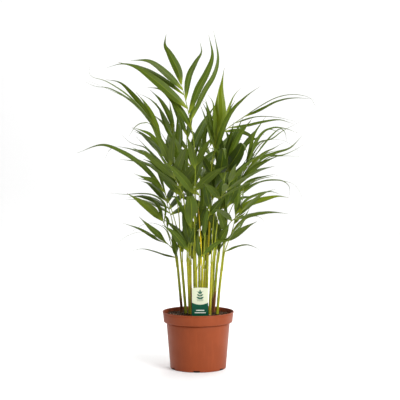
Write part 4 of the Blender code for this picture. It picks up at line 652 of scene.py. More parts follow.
def plan_fronds(thicket, mouths):
    """Lays out every rachis first, then every leaflet, so that none grows through another."""
    chance = random.Random(11)
    side = CM * PLANT_SPREAD / TABLE_SPREAD
    plans = []
    for name, shoot, tip in SPEARS:
        target = table_point(*tip)
        mouth = mouths[shoot].take(target)
        frond = Frond(name, mouth, [mouth.lerp(target, 0.5) + Vector((0.0008, 0.0006, 0)), target])
        plans.append((frond, "spear", None, shoot))
    for name, shoot, rachis, leaflets in FRONDS:
        points = [table_point(*p) for p in rachis]
        frond = Frond("frond_" + name, mouths[shoot].take(points[0]), points)
        plans.append((frond, "drawn", leaflets, shoot))
    for name, shoot, tip, pairs, length, width, foot, end, droop in RULE_FRONDS:
        target = table_point(*tip)
        mouth = mouths[shoot].take(target)
        way = mouths[shoot].way
        reach = (target - mouth).length
        middle = mouth + way * (reach * 0.48) + (target - mouth) * 0.10
        late = mouth.lerp(target, 0.78) + way * (reach * 0.10)
        frond = Frond("frond_" + name, mouth, [middle, late, target])
        plans.append((frond, "rule", (pairs, length * side, width * side, foot, end, droop), shoot))
    skins = {}
    for frond, style, _, _ in plans:
        if not free_rachis(frond, thicket):
            print("crowded:", frond.name)
        if style == "spear":
            thicket.add(*sleeve(spear_rings(frond, LEAF_CLEARANCE / 2)))
        else:
            thicket.add(*frond.skin(LEAF_CLEARANCE / 2))
            skins[frond.name] = thicket.kept[-1]
    lost = 0
    for frond, style, data, _ in plans:
        if style == "spear":
            continue
        own = Thicket()
        grown = Thicket()
        path = frond.path()
        ways = tangents_of(path)
        found = []
        if style == "drawn":
            for tip_y, width, roll, *places in data:
                points = [table_point(x, 0.0, z) for x, z in zip(places[::2], places[1::2])]
                index = min(
                    range(len(path) // 3, len(path)),
                    key=lambda i: math.hypot(path[i].x - points[0].x, path[i].z - points[0].z),
                )
                foot = path[index]
                reach = [0.0]
                for a, b in zip(points, points[1:]):
                    reach.append(reach[-1] + (b - a).length)
                for i, point in enumerate(points):
                    point.y = foot.y + (tip_y * side - foot.y) * reach[i] / reach[-1]
                points[0] = foot.copy()
                steps = 5 if len(points) > 3 else 4
                found.append(
                    (index, Leaflet(points, width * side, TO_FRONT, roll, ways[index], steps))
                )
        else:
            found = rule_leaflets(frond, *data, chance)
        rachis = Thicket()
        rachis.kept = [skins[frond.name]]
        others = Thicket()
        others.kept = [k for k in thicket.kept if k is not skins[frond.name]]
        taken = []
        for index, leaflet in found:
            while any(abs(index - t) < 2 for t in taken):
                index -= 1
            leaflet.points = [path[index].copy(), *leaflet.points[1:]]
            if free_leaflet(leaflet, others, own, rachis):
                taken.append(index)
                own.add(*sleeve(leaflet.rings(LEAF_CLEARANCE / 2)))
                grown.add(*sleeve(leaflet.rooted_rings(LEAF_CLEARANCE / 2)))
                frond.leaflets.append((index, leaflet))
            else:
                lost += 1
        thicket.kept += grown.kept
    print("leaflets:", sum(len(f.leaflets) for f, _, _, _ in plans), "left out:", lost)
    return plans


def spear_rings(frond, extra):
    path = smooth_path([frond.mouth, *frond.points], 6)
    shares = (0.9, 1.15, 1.3, 1.25, 0.95, 0.6, 0.22)
    radii = [PETIOLE_RADIUS * s + extra for s in shares]
    return tube_rings(path, radii, 6)


# ---------------------------------------------------------------- shoots
class Mouth:
    """The open top of a shoot, which hands out places for the petioles that grow from it."""

    def __init__(self, centre, way):
        self.centre = centre
        self.way = way
        self.used = []

    def take(self, target):
        flat = target - self.centre
        flat.z = 0.0
        aim = math.atan2(flat.y, flat.x)
        ring = SHOOT_TOP_RADIUS - PETIOLE_RADIUS * 0.8
        best = None
        for step in range(24):
            angle = aim + (step + 1) // 2 * (-1) ** step * math.pi / 12
            gap = min(
                (abs(math.remainder(angle - other, ROUND)) for other in self.used),
                default=math.pi,
            )
            if gap * ring > 2 * PETIOLE_RADIUS * 1.15 + LEAF_CLEARANCE:
                best = angle
                break
        if best is None:
            raise ValueError("too many petioles on one shoot")
        self.used.append(best)
        u = across(self.way, Vector((1.0, 0.0, 0.0)))
        v = self.way.cross(u)
        off = u * (ring * math.cos(best)) + v * (ring * math.sin(best))
        return self.centre + off + self.way * CLEARANCE


def shoot_path(row):
    x0, y0, x1, y1, z1 = row
    foot = table_point(x0, y0, TABLE_SOIL / CM)
    top = table_point(x1, y1, z1)
    lean = (top - foot) * 0.10
    deep = foot - Vector((lean.x * 0.3, lean.y * 0.3, SHOOT_DEPTH))
    middle = foot.lerp(top, 0.5) - Vector((lean.x * 0.5, lean.y * 0.5, 0.0))
    return smooth_path([deep, foot, middle, top], 5)


def shoot_rings(path, extra):
    radii = [
        SHOOT_RADIUS + (SHOOT_TOP_RADIUS - SHOOT_RADIUS) * i / (len(path) - 1) + extra
        for i in range(len(path))
    ]
    return tube_rings(path, radii, 6)


# ---------------------------------------------------------------- node helpers
class Wiring:
    """A node tree being wired: each call adds one node and hands back its output."""

    def __init__(self, tree):
        self.tree = tree

    def node(self, kind, **values):
        made = self.tree.nodes.new(kind)
        for name, value in values.items():
            setattr(made, name, value)
        return made

    def join(self, value, socket):
        if isinstance(value, bpy.types.NodeSocket):
            self.tree.links.new(value, socket)
        else:
            socket.default_value = value

    def sum(self, operation, first, second=0.0, clamp=False):
        made = self.node("ShaderNodeMath", operation=operation, use_clamp=clamp)
        self.join(first, made.inputs[0])
        self.join(second, made.inputs[1])
        return made.outputs[0]

    def times(self, first, second):
        return self.sum("MULTIPLY", first, second)

    def between(self, value, low, high, to_low=0.0, to_high=1.0):
        made = self.node("ShaderNodeMapRange", interpolation_type="SMOOTHSTEP")
        for number, item in enumerate((value, low, high, to_low, to_high)):
            self.join(item, made.inputs[number])
        return made.outputs[0]

    def blend(self, share, first, second):
        made = self.node("ShaderNodeMix", data_type="RGBA")
        self.join(share, made.inputs[0])
        for colour, socket in ((first, made.inputs[6]), (second, made.inputs[7])):
            self.join((*colour, 1.0) if isinstance(colour, tuple) else colour, socket)
        return made.outputs[2]

    def glaze(self, under, mask, strength, colour):
        """Lays a colour over what is there: where the mask is, and as strongly as said."""
        return self.blend(self.times(mask, strength), under, colour)

    def noise(self, where, scale, detail=3.0, roughness=0.5):
        made = self.node("ShaderNodeTexNoise")
        self.join(where, made.inputs["Vector"])
        self.join(scale, made.inputs["Scale"])
        made.inputs["Detail"].default_value = detail
        made.inputs["Roughness"].default_value = roughness
        return made.outputs[0]

    def place(self):
        return self.node("ShaderNodeTexCoord").outputs["Object"]

    def mark(self, name):
        return self.node("ShaderNodeAttribute", attribute_name=name).outputs["Fac"]

    def apart(self, where):
        """The x, y and z of a place."""
        parts = self.node("ShaderNodeSeparateXYZ")
        self.join(where, parts.inputs[0])
        return parts.outputs

    def map_of(self, name):
        """How far across and how far along a piece its map says this place is."""
        return self.apart(self.node("ShaderNodeUVMap", uv_map=name).outputs[0])[:2]

    def point(self, x, y, z):
        made = self.node("ShaderNodeCombineXYZ")
        for value, socket in zip((x, y, z), made.inputs):
            self.join(value, socket)
        return made.outputs[0]

    def group(self, tree, **values):
        made = self.node("ShaderNodeGroup", node_tree=tree)
        for name, value in values.items():
            self.join(value, made.inputs[name.replace("_", " ")])
        return made.outputs


def new_group(name, inputs, outputs):
    """A shader node group of plain values. Returns its wiring, its inputs and its outputs."""
    tree = bpy.data.node_groups.new(name, "ShaderNodeTree")
    for label, default in inputs.items():
        socket = tree.interface.new_socket(name=label, in_out="INPUT", socket_type="NodeSocketFloat")
        socket.default_value = default
    for label in outputs:
        tree.interface.new_socket(name=label, in_out="OUTPUT", socket_type="NodeSocketFloat")
    wiring = Wiring(tree)
    start = wiring.node("NodeGroupInput")
    end = wiring.node("NodeGroupOutput")
    return wiring, start.outputs, end.inputs


def running_streaks():
    """Fine lines that run along a stem or a blade, and a broader band of tone with them."""
    if "running streaks" in bpy.data.node_groups:
        return bpy.data.node_groups["running streaks"]
    w, given, out = new_group(
        "running streaks",
        {"Across": 0.0, "Along": 0.0, "Seed": 0.0, "Lines": 30.0, "Stretch": 2.0},
        ("Lines", "Bands"),
    )
    along = w.times(given["Along"], given["Stretch"])
    fine = w.point(w.times(given["Across"], given["Lines"]), along, given["Seed"])
    w.join(w.noise(fine, 1.0, 2.0, 0.6), out["Lines"])
    few = w.times(w.times(given["Across"], given["Lines"]), 0.17)
    w.join(w.noise(w.point(few, along, given["Seed"]), 1.0, 1.0), out["Bands"])
    return w.tree


def soft_mottle():
    """Slow, uneven change of tone over a surface, as an even 0 to 1."""
    if "soft mottle" in bpy.data.node_groups:
        return bpy.data.node_groups["soft mottle"]
    w, given, out = new_group("soft mottle", {"Scale": 30.0, "Low": 0.35, "High": 0.65}, ("Mottle",))
    cloudy = w.noise(w.place(), given["Scale"], 4.0, 0.55)
    w.join(w.between(cloudy, given["Low"], given["High"]), out["Mottle"])
    return w.tree


def small_flecks():
    """Small round specks scattered over a surface: 1 on a speck and 0 off it."""
    if "small flecks" in bpy.data.node_groups:
        return bpy.data.node_groups["small flecks"]
    w, given, out = new_group("small flecks", {"Scale": 300.0, "Size": 0.2, "Share": 0.3}, ("Flecks",))
    cells = w.node("ShaderNodeTexVoronoi")
    w.join(w.place(), cells.inputs["Vector"])
    w.join(given["Scale"], cells.inputs["Scale"])
    near = w.sum("LESS_THAN", cells.outputs["Distance"], given["Size"])
    pick = w.node("ShaderNodeSeparateColor")
    w.join(cells.outputs["Color"], pick.inputs[0])
    kept = w.sum("LESS_THAN", pick.outputs[0], given["Share"])
    w.join(w.times(near, kept), out["Flecks"])
    return w.tree


def new_finish(name, roughness=0.5, **plain):
    """A material with one Principled BSDF. Plain numbers go on its own sockets."""
    material = bpy.data.materials.new(name)
    material.use_nodes = True
    shader = material.node_tree.nodes["Principled BSDF"]
    shader.inputs["Roughness"].default_value = roughness
    for label, value in plain.items():
        shader.inputs[label.replace("_", " ")].default_value = value
    return material, Wiring(material.node_tree), shader


def add_bump(w, shader, height, strength, distance):
    bump = w.node("ShaderNodeBump")
    bump.inputs["Strength"].default_value = strength
    bump.inputs["Distance"].default_value = distance
    w.join(height, bump.inputs["Height"])
    w.join(bump.outputs[0], shader.inputs["Normal"])


# ---------------------------------------------------------------- finishes
def leaf_finish(settings):
    """Smooth waxy palm blade: parallel veins, a pale keel, tone that differs leaflet by leaflet."""
    material, w, shader = new_finish("waxy palm blade", 0.4, Specular_IOR_Level=0.17)
    across, along = w.map_of("blade")
    tint = w.mark("leaf_tint")
    under = w.mark("underside")
    streaks = w.group(
        running_streaks(), Across=across, Along=along, Seed=w.times(tint, 37.0),
        Lines=46.0, Stretch=1.6,
    )
    veins = w.group(
        running_streaks(), Across=across, Along=along, Seed=w.times(tint, 11.0),
        Lines=110.0, Stretch=0.7,
    )
    mottle = w.group(soft_mottle(), Scale=26.0, Low=0.3, High=0.7)["Mottle"]
    dark = tuple(settings.shade_colour)
    middle = tuple(settings.leaf_colour)
    light = tuple(settings.young_and_backlit_colour)
    tone = w.blend(w.between(tint, 0.0, 0.62), dark, middle)
    # The light end of the tint is partly the young blades' own tone and partly painted backlight glow,
    # lighter and yellower.
    tone = w.blend(w.between(tint, 0.66, 1.0), tone, light)
    tone = w.glaze(tone, mottle, 0.35, (0.060, 0.120, 0.004))
    tone = w.glaze(tone, w.between(streaks["Bands"], 0.35, 0.7), 0.30, middle)
    tone = w.glaze(tone, w.between(streaks["Lines"], 0.5, 0.75), 0.28, (0.150, 0.215, 0.012))
    tone = w.glaze(tone, w.between(veins["Lines"], 0.55, 0.8), 0.25, (0.020, 0.038, 0.002))
    off_keel = w.sum("ABSOLUTE", w.sum("SUBTRACT", across, 0.5))
    keel = w.between(off_keel, 0.010, 0.045, 1.0, 0.0)
    tone = w.glaze(tone, keel, 0.45, (0.210, 0.270, 0.010))
    margin = w.between(off_keel, 0.462, 0.492)
    tone = w.glaze(tone, margin, 0.40, (0.170, 0.210, 0.008))
    foot = w.between(along, 0.02, 0.17, 1.0, 0.0)
    tone = w.glaze(tone, foot, 0.75, (0.235, 0.285, 0.014))
    dry = w.times(w.between(along, 0.955, 0.995), w.between(tint, 0.35, 0.6))
    tone = w.blend(dry, tone, (0.170, 0.105, 0.035))
    flecks = w.group(small_flecks(), Scale=420.0, Size=0.16, Share=0.10)["Flecks"]
    tone = w.glaze(tone, flecks, 0.5, (0.110, 0.085, 0.020))
    tone = w.glaze(tone, under, 0.35, (0.100, 0.135, 0.014))
    w.join(tone, shader.inputs["Base Color"])
    worn = w.between(mottle, 0.0, 1.0, 0.30, 0.46)
    rough = w.sum("ADD", worn, w.times(under, 0.16))
    w.join(w.sum("ADD", rough, w.times(streaks["Lines"], 0.06)), shader.inputs["Roughness"])
    relief = w.sum("ADD", w.times(veins["Lines"], 0.5), streaks["Lines"])
    add_bump(w, shader, relief, 0.30, 0.0004)
    return material


def petiole_finish():
    """Yellow-green petiole and rachis with fine lines, greener towards the tip."""
    material, w, shader = new_finish("yellow-green petiole", 0.4, Specular_IOR_Level=0.18)
    across, along = w.map_of("blade")
    tint = w.mark("leaf_tint")
    streaks = w.group(
        running_streaks(), Across=across, Along=along, Seed=w.times(tint, 23.0),
        Lines=16.0, Stretch=9.0,
    )
    tone = w.blend(w.between(along, 0.05, 0.85), (0.330, 0.345, 0.022), (0.180, 0.235, 0.016))
    tone = w.glaze(tone, w.between(tint, 0.5, 1.0), 0.5, (0.440, 0.400, 0.020))
    tone = w.glaze(tone, w.between(streaks["Lines"], 0.45, 0.75), 0.4, (0.110, 0.160, 0.010))
    tone = w.glaze(tone, w.between(streaks["Bands"], 0.5, 0.8), 0.4, (0.480, 0.470, 0.035))
    flecks = w.group(small_flecks(), Scale=520.0, Size=0.24, Share=0.16)["Flecks"]
    tone = w.glaze(tone, flecks, 0.7, (0.070, 0.040, 0.012))
    w.join(tone, shader.inputs["Base Color"])
    w.join(w.between(streaks["Bands"], 0.2, 0.8, 0.34, 0.50), shader.inputs["Roughness"])
    add_bump(w, shader, streaks["Lines"], 0.35, 0.0003)
    return material


def shoot_finish():
    """Sheathed stem: brown fibrous foot, yellow-green above, pale dry edges on the sheaths."""
    material, w, shader = new_finish("sheathed stem", 0.45, Specular_IOR_Level=0.18)
    across, along = w.map_of("stem")
    bark = w.mark("stem_bark")
    tint = w.mark("stem_tint")
    rim = w.mark("sheath_rim")
    streaks = w.group(
        running_streaks(), Across=across, Along=along, Seed=w.times(tint, 31.0),
        Lines=26.0, Stretch=7.0,
    )
    green = w.blend(w.between(tint, 0.0, 1.0), (0.200, 0.235, 0.012), (0.400, 0.365, 0.018))
    green = w.glaze(green, w.between(streaks["Lines"], 0.45, 0.72), 0.5, (0.120, 0.155, 0.008))
    green = w.glaze(green, w.between(streaks["Bands"], 0.5, 0.75), 0.45, (0.520, 0.500, 0.040))
    green = w.glaze(green, w.between(along, 0.80, 1.0), 0.6, (0.350, 0.350, 0.018))
    brown = w.blend(w.between(streaks["Lines"], 0.35, 0.7), (0.050, 0.018, 0.008),
                    (0.230, 0.080, 0.022))
    frayed = w.sum("ADD", along, w.times(w.sum("SUBTRACT", streaks["Bands"], 0.5), 0.22))
    cover = w.between(w.sum("SUBTRACT", bark, frayed), -0.10, 0.12)
    tone = w.blend(cover, green, brown)
    tone = w.glaze(tone, rim, 0.6, (0.330, 0.240, 0.060))
    flecks = w.group(small_flecks(), Scale=430.0, Size=0.30, Share=0.22)["Flecks"]
    tone = w.glaze(tone, flecks, 0.65, (0.090, 0.045, 0.014))
    w.join(tone, shader.inputs["Base Color"])
    w.join(w.between(cover, 0.0, 1.0, 0.38, 0.72), shader.inputs["Roughness"])
    relief = w.sum("ADD", streaks["Lines"], w.times(streaks["Bands"], 0.6))
    add_bump(w, shader, relief, 0.5, 0.0005)
    return material


def spear_finish():
    """Unopened leaf, rolled tight: lemon yellow with an orange-brown tip and a winding edge."""
    material, w, shader = new_finish("rolled young leaf", 0.42, Specular_IOR_Level=0.18)
    across, along = w.map_of("stem")
    wrap = w.sum("ADD", across, w.times(along, 1.4))
    wrap = w.sum("FRACT", wrap)
    streaks = w.group(running_streaks(), Across=across, Along=along, Seed=4.0, Lines=24.0, Stretch=5.0)
    tone = w.blend(w.between(along, 0.0, 0.7), (0.560, 0.470, 0.012), (0.760, 0.500, 0.012))
    tone = w.glaze(tone, w.between(streaks["Lines"], 0.4, 0.7), 0.4, (0.300, 0.330, 0.020))
    tone = w.blend(w.between(along, 0.84, 0.99), tone, (0.560, 0.180, 0.015))
    tone = w.glaze(tone, w.between(wrap, 0.0, 0.08, 1.0, 0.0), 0.6, (0.190, 0.160, 0.012))
    w.join(tone, shader.inputs["Base Color"])
    w.join(w.between(streaks["Bands"], 0.2, 0.8, 0.36, 0.5), shader.inputs["Roughness"])
    add_bump(w, shader, streaks["Lines"], 0.4, 0.0003)
    return material


def pot_finish(settings):
    """Moulded polypropylene, terracotta brown: satin, with flow marks, scuffs and soil dust, and painted
    shade in the drain notches.
    """
    material, w, shader = new_finish("moulded terracotta plastic", 0.45, Specular_IOR_Level=0.22)
    place = w.place()
    x, y, height = w.apart(place)
    turn = w.sum("ARCTAN2", x, w.times(y, -1.0))
    mottle = w.group(soft_mottle(), Scale=18.0, Low=0.3, High=0.7)["Mottle"]
    flow = w.group(
        running_streaks(), Across=turn, Along=height, Seed=2.0, Lines=9.0, Stretch=14.0,
    )
    base = tuple(settings.colour)
    deep = tuple(c * 0.84 for c in base)
    pale = tuple(min(1.0, c * 1.13 + 0.003) for c in base)
    tone = w.blend(w.times(mottle, 0.6), base, deep)
    tone = w.glaze(tone, w.between(flow["Lines"], 0.45, 0.75), 0.45, pale)
    scuff_place = w.point(
        w.times(turn, 3.0), w.times(height, 300.0), 1.0
    )
    scuffs = w.between(w.noise(scuff_place, 2.2, 5.0, 0.7), 0.66, 0.76)
    tone = w.glaze(tone, scuffs, 0.30, (0.380, 0.110, 0.045))
    inner = w.mark("inner_wall")
    dusty = w.between(w.noise(place, 160.0, 4.0, 0.65), 0.46, 0.62)
    low_inside = w.between(height, SOIL_LEVEL + 0.001, SOIL_LEVEL + 0.008, 1.0, 0.15)
    dirt = w.times(w.times(inner, dusty), low_inside)
    tone = w.glaze(tone, dirt, 0.85, (0.045, 0.026, 0.016))
    flecks = w.group(small_flecks(), Scale=260.0, Size=0.14, Share=0.05)["Flecks"]
    tone = w.glaze(tone, flecks, 0.6, (0.110, 0.045, 0.025))
    # Painted shade: near-black inside the drain notches and under the foot, where light does not reach.
    tone = w.glaze(tone, w.mark("drain_painted_shade"), 0.98, (0.003, 0.002, 0.002))
    w.join(tone, shader.inputs["Base Color"])
    rough = w.sum("ADD", w.between(mottle, 0.0, 1.0, 0.40, 0.50), w.times(scuffs, 0.15))
    w.join(w.sum("ADD", rough, w.times(dirt, 0.35), clamp=True), shader.inputs["Roughness"])
    grain = w.noise(place, 1500.0, 2.0, 0.5)
    relief = w.sum("ADD", w.times(grain, 0.4), w.times(flow["Lines"], 0.5))
    add_bump(w, shader, relief, 0.22, 0.0002)
    return material


def soil_finish(settings):
    """Damp potting mix: dark peat crumbs, with bits that have their own tone."""
    material, w, shader = new_finish("damp potting mix", 0.9, Specular_IOR_Level=0.10)
    place = w.place()
    bit = w.mark("bit_tone")
    base = tuple(settings.colour)
    crumbs = w.noise(place, 420.0, 5.0, 0.7)
    tone = w.blend(w.between(crumbs, 0.35, 0.65), tuple(c * 0.35 for c in base), base)
    patches = w.group(soft_mottle(), Scale=55.0, Low=0.4, High=0.65)["Mottle"]
    tone = w.glaze(tone, patches, 0.5, (0.085, 0.045, 0.022))
    flecks = w.group(small_flecks(), Scale=480.0, Size=0.32, Share=0.14)["Flecks"]
    tone = w.glaze(tone, flecks, 0.6, (0.230, 0.150, 0.085))
    woody = w.blend(w.between(crumbs, 0.3, 0.7), (0.060, 0.026, 0.012), (0.150, 0.075, 0.034))
    tone = w.blend(w.between(bit, 0.15, 0.45), tone, woody)
    tone = w.blend(w.between(bit, 0.84, 0.90), tone, (0.560, 0.470, 0.360))
    w.join(tone, shader.inputs["Base Color"])
    w.join(w.between(crumbs, 0.3, 0.7, 0.98, 0.74), shader.inputs["Roughness"])
    add_bump(w, shader, crumbs, 0.8, 0.0012)
    return material


def label_finish(settings):
    """Glossy printed card: pale cream above a bowed edge, bottle green below."""
    material, w, shader = new_finish("printed label card", 0.34, Specular_IOR_Level=0.10)
    across, along = w.map_of("card")
    bow = w.sum("SUBTRACT", across, 0.5)
    edge = w.sum("ADD", w.times(w.times(bow, bow), settings.bow), settings.split)
    lower = w.between(w.sum("SUBTRACT", along, edge), -0.004, 0.004, 1.0, 0.0)
    mottle = w.group(soft_mottle(), Scale=45.0, Low=0.3, High=0.7)["Mottle"]
    cream = w.blend(w.times(mottle, 0.5), tuple(settings.upper_colour),
                    tuple(c * 0.93 for c in settings.upper_colour))
    green = w.blend(w.times(mottle, 0.5), tuple(settings.lower_colour),
                    tuple(c * 0.8 for c in settings.lower_colour))
    tone = w.blend(lower, cream, green)
    smudge = w.between(w.noise(w.place(), 240.0, 4.0, 0.7), 0.60, 0.72)
    near_soil = w.between(along, 0.30, 0.40, 1.0, 0.0)
    tone = w.glaze(tone, w.times(smudge, near_soil), 0.8, (0.060, 0.035, 0.020))
    w.join(tone, shader.inputs["Base Color"])
    w.join(w.between(mottle, 0.0, 1.0, 0.22, 0.34), shader.inputs["Roughness"])
    add_bump(w, shader, w.noise(w.place(), 900.0, 2.0), 0.06, 0.0001)
    return material


def ink_finish(name, colour):
    """Printed ink on the label, a little uneven."""
    material, w, shader = new_finish(name, 0.35, Specular_IOR_Level=0.4)
    mottle = w.group(soft_mottle(), Scale=260.0, Low=0.35, High=0.65)["Mottle"]
    tone = w.blend(w.times(mottle, 0.45), colour, tuple(c * 0.75 for c in colour))
    w.join(tone, shader.inputs["Base Color"])
    w.join(w.between(mottle, 0.0, 1.0, 0.30, 0.42), shader.inputs["Roughness"])
    return material


def floor_finish(colour):
    """Plain pale studio floor, with painted shade where the pot stands: near-black and unlit under its foot.
    """
    material, w, shader = new_finish("pale studio floor", 0.9, Specular_IOR_Level=0.1, Emission_Strength=0.2)
    mottle = w.group(soft_mottle(), Scale=1.5, Low=0.2, High=0.8)["Mottle"]
    tone = w.blend(w.times(mottle, 0.3), colour, tuple(c * 0.985 for c in colour))
    x, y, _ = w.apart(w.place())
    far = w.sum("SQRT", w.sum("ADD", w.times(x, x), w.times(y, y)))
    foot = POT_RIM_RADIUS - POT_LIP_DROP - POT_BODY_STEP - POT_TAPER
    # Painted shade: under the pot's foot the floor turns near-black and stops glowing, so the drain notches
    # look dark.
    painted_shade_under_pot = w.between(far, foot - 0.005, foot - 0.001, 1.0, 0.0)
    tone = w.blend(painted_shade_under_pot, tone, (0.010, 0.008, 0.007))
    w.join(tone, shader.inputs["Base Color"])
    w.join(w.blend(painted_shade_under_pot, (1.0, 1.0, 1.0), (0.0, 0.0, 0.0)), shader.inputs["Emission Color"])
    return material


# ---------------------------------------------------------------- building a detailed mesh
class Body:
    """Points, faces and per-point marks of one piece, gathered and then turned into a mesh."""

    def __init__(self, map_name, *marks):
        self.points = []
        self.faces = []
        self.maps = []
        self.slots = []
        self.map_name = map_name
        self.marks = {name: [] for name in marks}

    def add_rings(self, rings, maps, slot=0, **marks):
        """A closed skin over rings of equal count, with a map place (across, along) per point."""
        start = len(self.points)
        count = len(rings[0])
        for ring, places in zip(rings, maps):
            self.points += ring
            self.maps += places
        made = len(self.points) - start
        for name, held in self.marks.items():
            value = marks.get(name, 0.0)
            held += list(value) if isinstance(value, (list, tuple)) else [value] * made
        for i in range(len(rings) - 1):
            for j in range(count):
                k = (j + 1) % count
                a = start + i * count
                self.faces.append((a + j, a + k, a + count + k, a + count + j))
                self.slots.append(slot)
        last = start + (len(rings) - 1) * count
        self.faces.append(tuple(range(start + count - 1, start - 1, -1)))
        self.faces.append(tuple(range(last, last + count)))
        self.slots += [slot, slot]

    def finish(self, name, materials, sharp=60.0):
        mesh = bpy.data.meshes.new(name)
        mesh.from_pydata(self.points, [], self.faces)
        layer = mesh.uv_layers.new(name=self.map_name)
        for loop in mesh.loops:
            layer.data[loop.index].uv = self.maps[loop.vertex_index]
        for mark, values in self.marks.items():
            made = mesh.attributes.new(mark, "FLOAT", "POINT")
            made.data.foreach_set("value", values)
        for material in materials:
            mesh.materials.append(material)
        for polygon, slot in zip(mesh.polygons, self.slots):
            polygon.material_index = slot
            polygon.use_smooth = True
        bm = bmesh.new()
        bm.from_mesh(mesh)
        bmesh.ops.recalc_face_normals(bm, faces=bm.faces[:])
        bm.to_mesh(mesh)
        bm.free()
        mesh.set_sharp_from_angle(angle=math.radians(sharp))
        return mesh


def turned_skin(path, sides, radius_at):
    """Rings round a path and their map. radius_at gives the radius for a part and an angle."""
    rings = []
    maps = []
    for i, (centre, way) in enumerate(zip(path, tangents_of(path))):
        part = i / (len(path) - 1)
        u = across(way, TO_FRONT)
        v = way.cross(u)
        ring = []
        for k in range(sides):
            angle = ROUND * k / sides
            radius = radius_at(part, angle)
            ring.append(centre + u * (radius * math.cos(angle)) + v * (radius * math.sin(angle)))
        rings.append(ring)
        maps.append([(k / sides, part) for k in range(sides)])
    return rings, maps


def place_piece(name, mesh, slot, *nodes):
    """Links a piece, hangs it on the root body and lets it stand for its solid nodes."""
    obj = bpy.data.objects.new(name, mesh)
    collection = bpy.data.collections.get("potted_palm_looks")
    if collection is None:
        collection = bpy.data.collections.new("potted_palm_looks")
        bpy.context.scene.collection.children.link(collection)
    collection.objects.link(obj)
    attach(obj, "root")
    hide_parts(*nodes)
    return obj


def eased(values, part):
    """A smooth curve through evenly spaced values, read at a part from 0 to 1."""
    place = min(max(part, 0.0), 1.0) * (len(values) - 1)
    low = min(int(place), len(values) - 2)
    t = place - low
    a = values[max(low - 1, 0)]
    b = values[low]
    c = values[low + 1]
    d = values[min(low + 2, len(values) - 1)]
    return 0.5 * (2 * b + (c - a) * t + (2 * a - 5 * b + 4 * c - d) * t**2
                  + (3 * b - a - 3 * c + d) * t**3)


# ---------------------------------------------------------------- the growth plan
PLAN = {}


def growth_plan():
    """Shoot paths and frond plans, grown once in the same order as the solids."""
    if PLAN:
        return PLAN
    shoots = [shoot_path(row) for row in SHOOTS]
    thicket = Thicket()
    front, back = label_rings()
    sides = len(front)
    thicket.add(
        [*front, *back],
        [tuple(range(sides))[::-1], tuple(range(sides, 2 * sides)),
         *((i, (i + 1) % sides, sides + (i + 1) % sides, sides + i) for i in range(sides))],
    )
    rim = round_ring(Vector((0, 0, 0)), WORLD_UP, POT_RIM_RADIUS + 0.002, 24)
    thicket.add(*sleeve([rim, [p + WORLD_UP * (POT_HEIGHT + 0.002) for p in rim]]))
    mouths = []
    for path in shoots:
        rings = shoot_rings(path, 0.0)
        thicket.add(*sleeve(shoot_rings(path, LEAF_CLEARANCE / 2)[:-1] + [rings[-1]]))
        mouths.append(Mouth(path[-1], (path[-1] - path[-2]).normalized()))
    PLAN["shoots"] = shoots
    PLAN["fronds"] = plan_fronds(thicket, mouths)
    return PLAN


# ---------------------------------------------------------------- label
def label_outline():
    half = LABEL_WIDTH / 2
    low = SOIL_LEVEL - LABEL_DEPTH
    high = SOIL_LEVEL + LABEL_SHOWN
    shoulder = 0.0022
    outline = [(-half + 0.004, low), (half - 0.004, low), (half, low + 0.012)]
    for step in range(4):
        angle = math.radians(step * 30)
        outline.append((half - shoulder + shoulder * math.cos(angle),
                        high - 0.001 - shoulder + shoulder * math.sin(angle)))
    for share in (0.5, 0.0, -0.5):
        outline.append((share * half, high - 0.001 * share**2 * 2.0))
    for step in range(3, -1, -1):
        angle = math.radians(step * 30)
        outline.append((-half + shoulder - shoulder * math.cos(angle),
                        high - 0.001 - shoulder + shoulder * math.sin(angle)))
    outline.append((-half, low + 0.012))
    return outline


def label_rings():
    front = LABEL_Y - LABEL_THICKNESS / 2
    ring = [Vector((LABEL_X + x, front, z)) for x, z in label_outline()[::-1]]
    return ring, [p + Vector((0.0, LABEL_THICKNESS, 0.0)) for p in ring]


def flat_print(bm, outline, depth, material):
    """A thin raised print on the label's face, from its outline in the label's x and z."""
    front = LABEL_Y - LABEL_THICKNESS / 2
    near = [bm.verts.new((LABEL_X + x, front - depth, z)) for x, z in outline]
    far = [bm.verts.new((LABEL_X + x, front + 0.0001, z)) for x, z in outline]
    faces = [bm.faces.new(near), bm.faces.new(far[::-1])]
    for i in range(len(near)):
        j = (i + 1) % len(near)
        faces.append(bm.faces.new((near[j], near[i], far[i], far[j])))
    for face in faces:
        face.material_index = material


def leaf_outline(x, z, length, width, degrees):
    """Outline of one printed leaf: its foot at x, z, leaning by so many degrees from upright."""
    lean = math.radians(degrees)
    sides = []
    for side in (1, -1):
        run = []
        for i in range(9):
            part = i / 8
            half = 0.5 * width * math.sin(math.pi * part**0.8)
            run.append((half * side, length * part))
        sides.append(run)
    points = sides[0] + sides[1][-2:0:-1]
    turned = []
    for u, v in points:
        turned.append((x + u * math.cos(lean) + v * math.sin(lean),
                       z - u * math.sin(lean) + v * math.cos(lean)))
    return turned


def bar_outline(x, z, length, height):
    """Outline of a plain bar with round ends, centred on x, z."""
    points = []
    for end in (1, -1):
        for i in range(7):
            angle = math.radians(-90 + 30 * i)
            points.append((x + end * (length / 2 - height / 2 + height / 2 * math.cos(angle)),
                           z + end * height / 2 * math.sin(angle)))
    return points


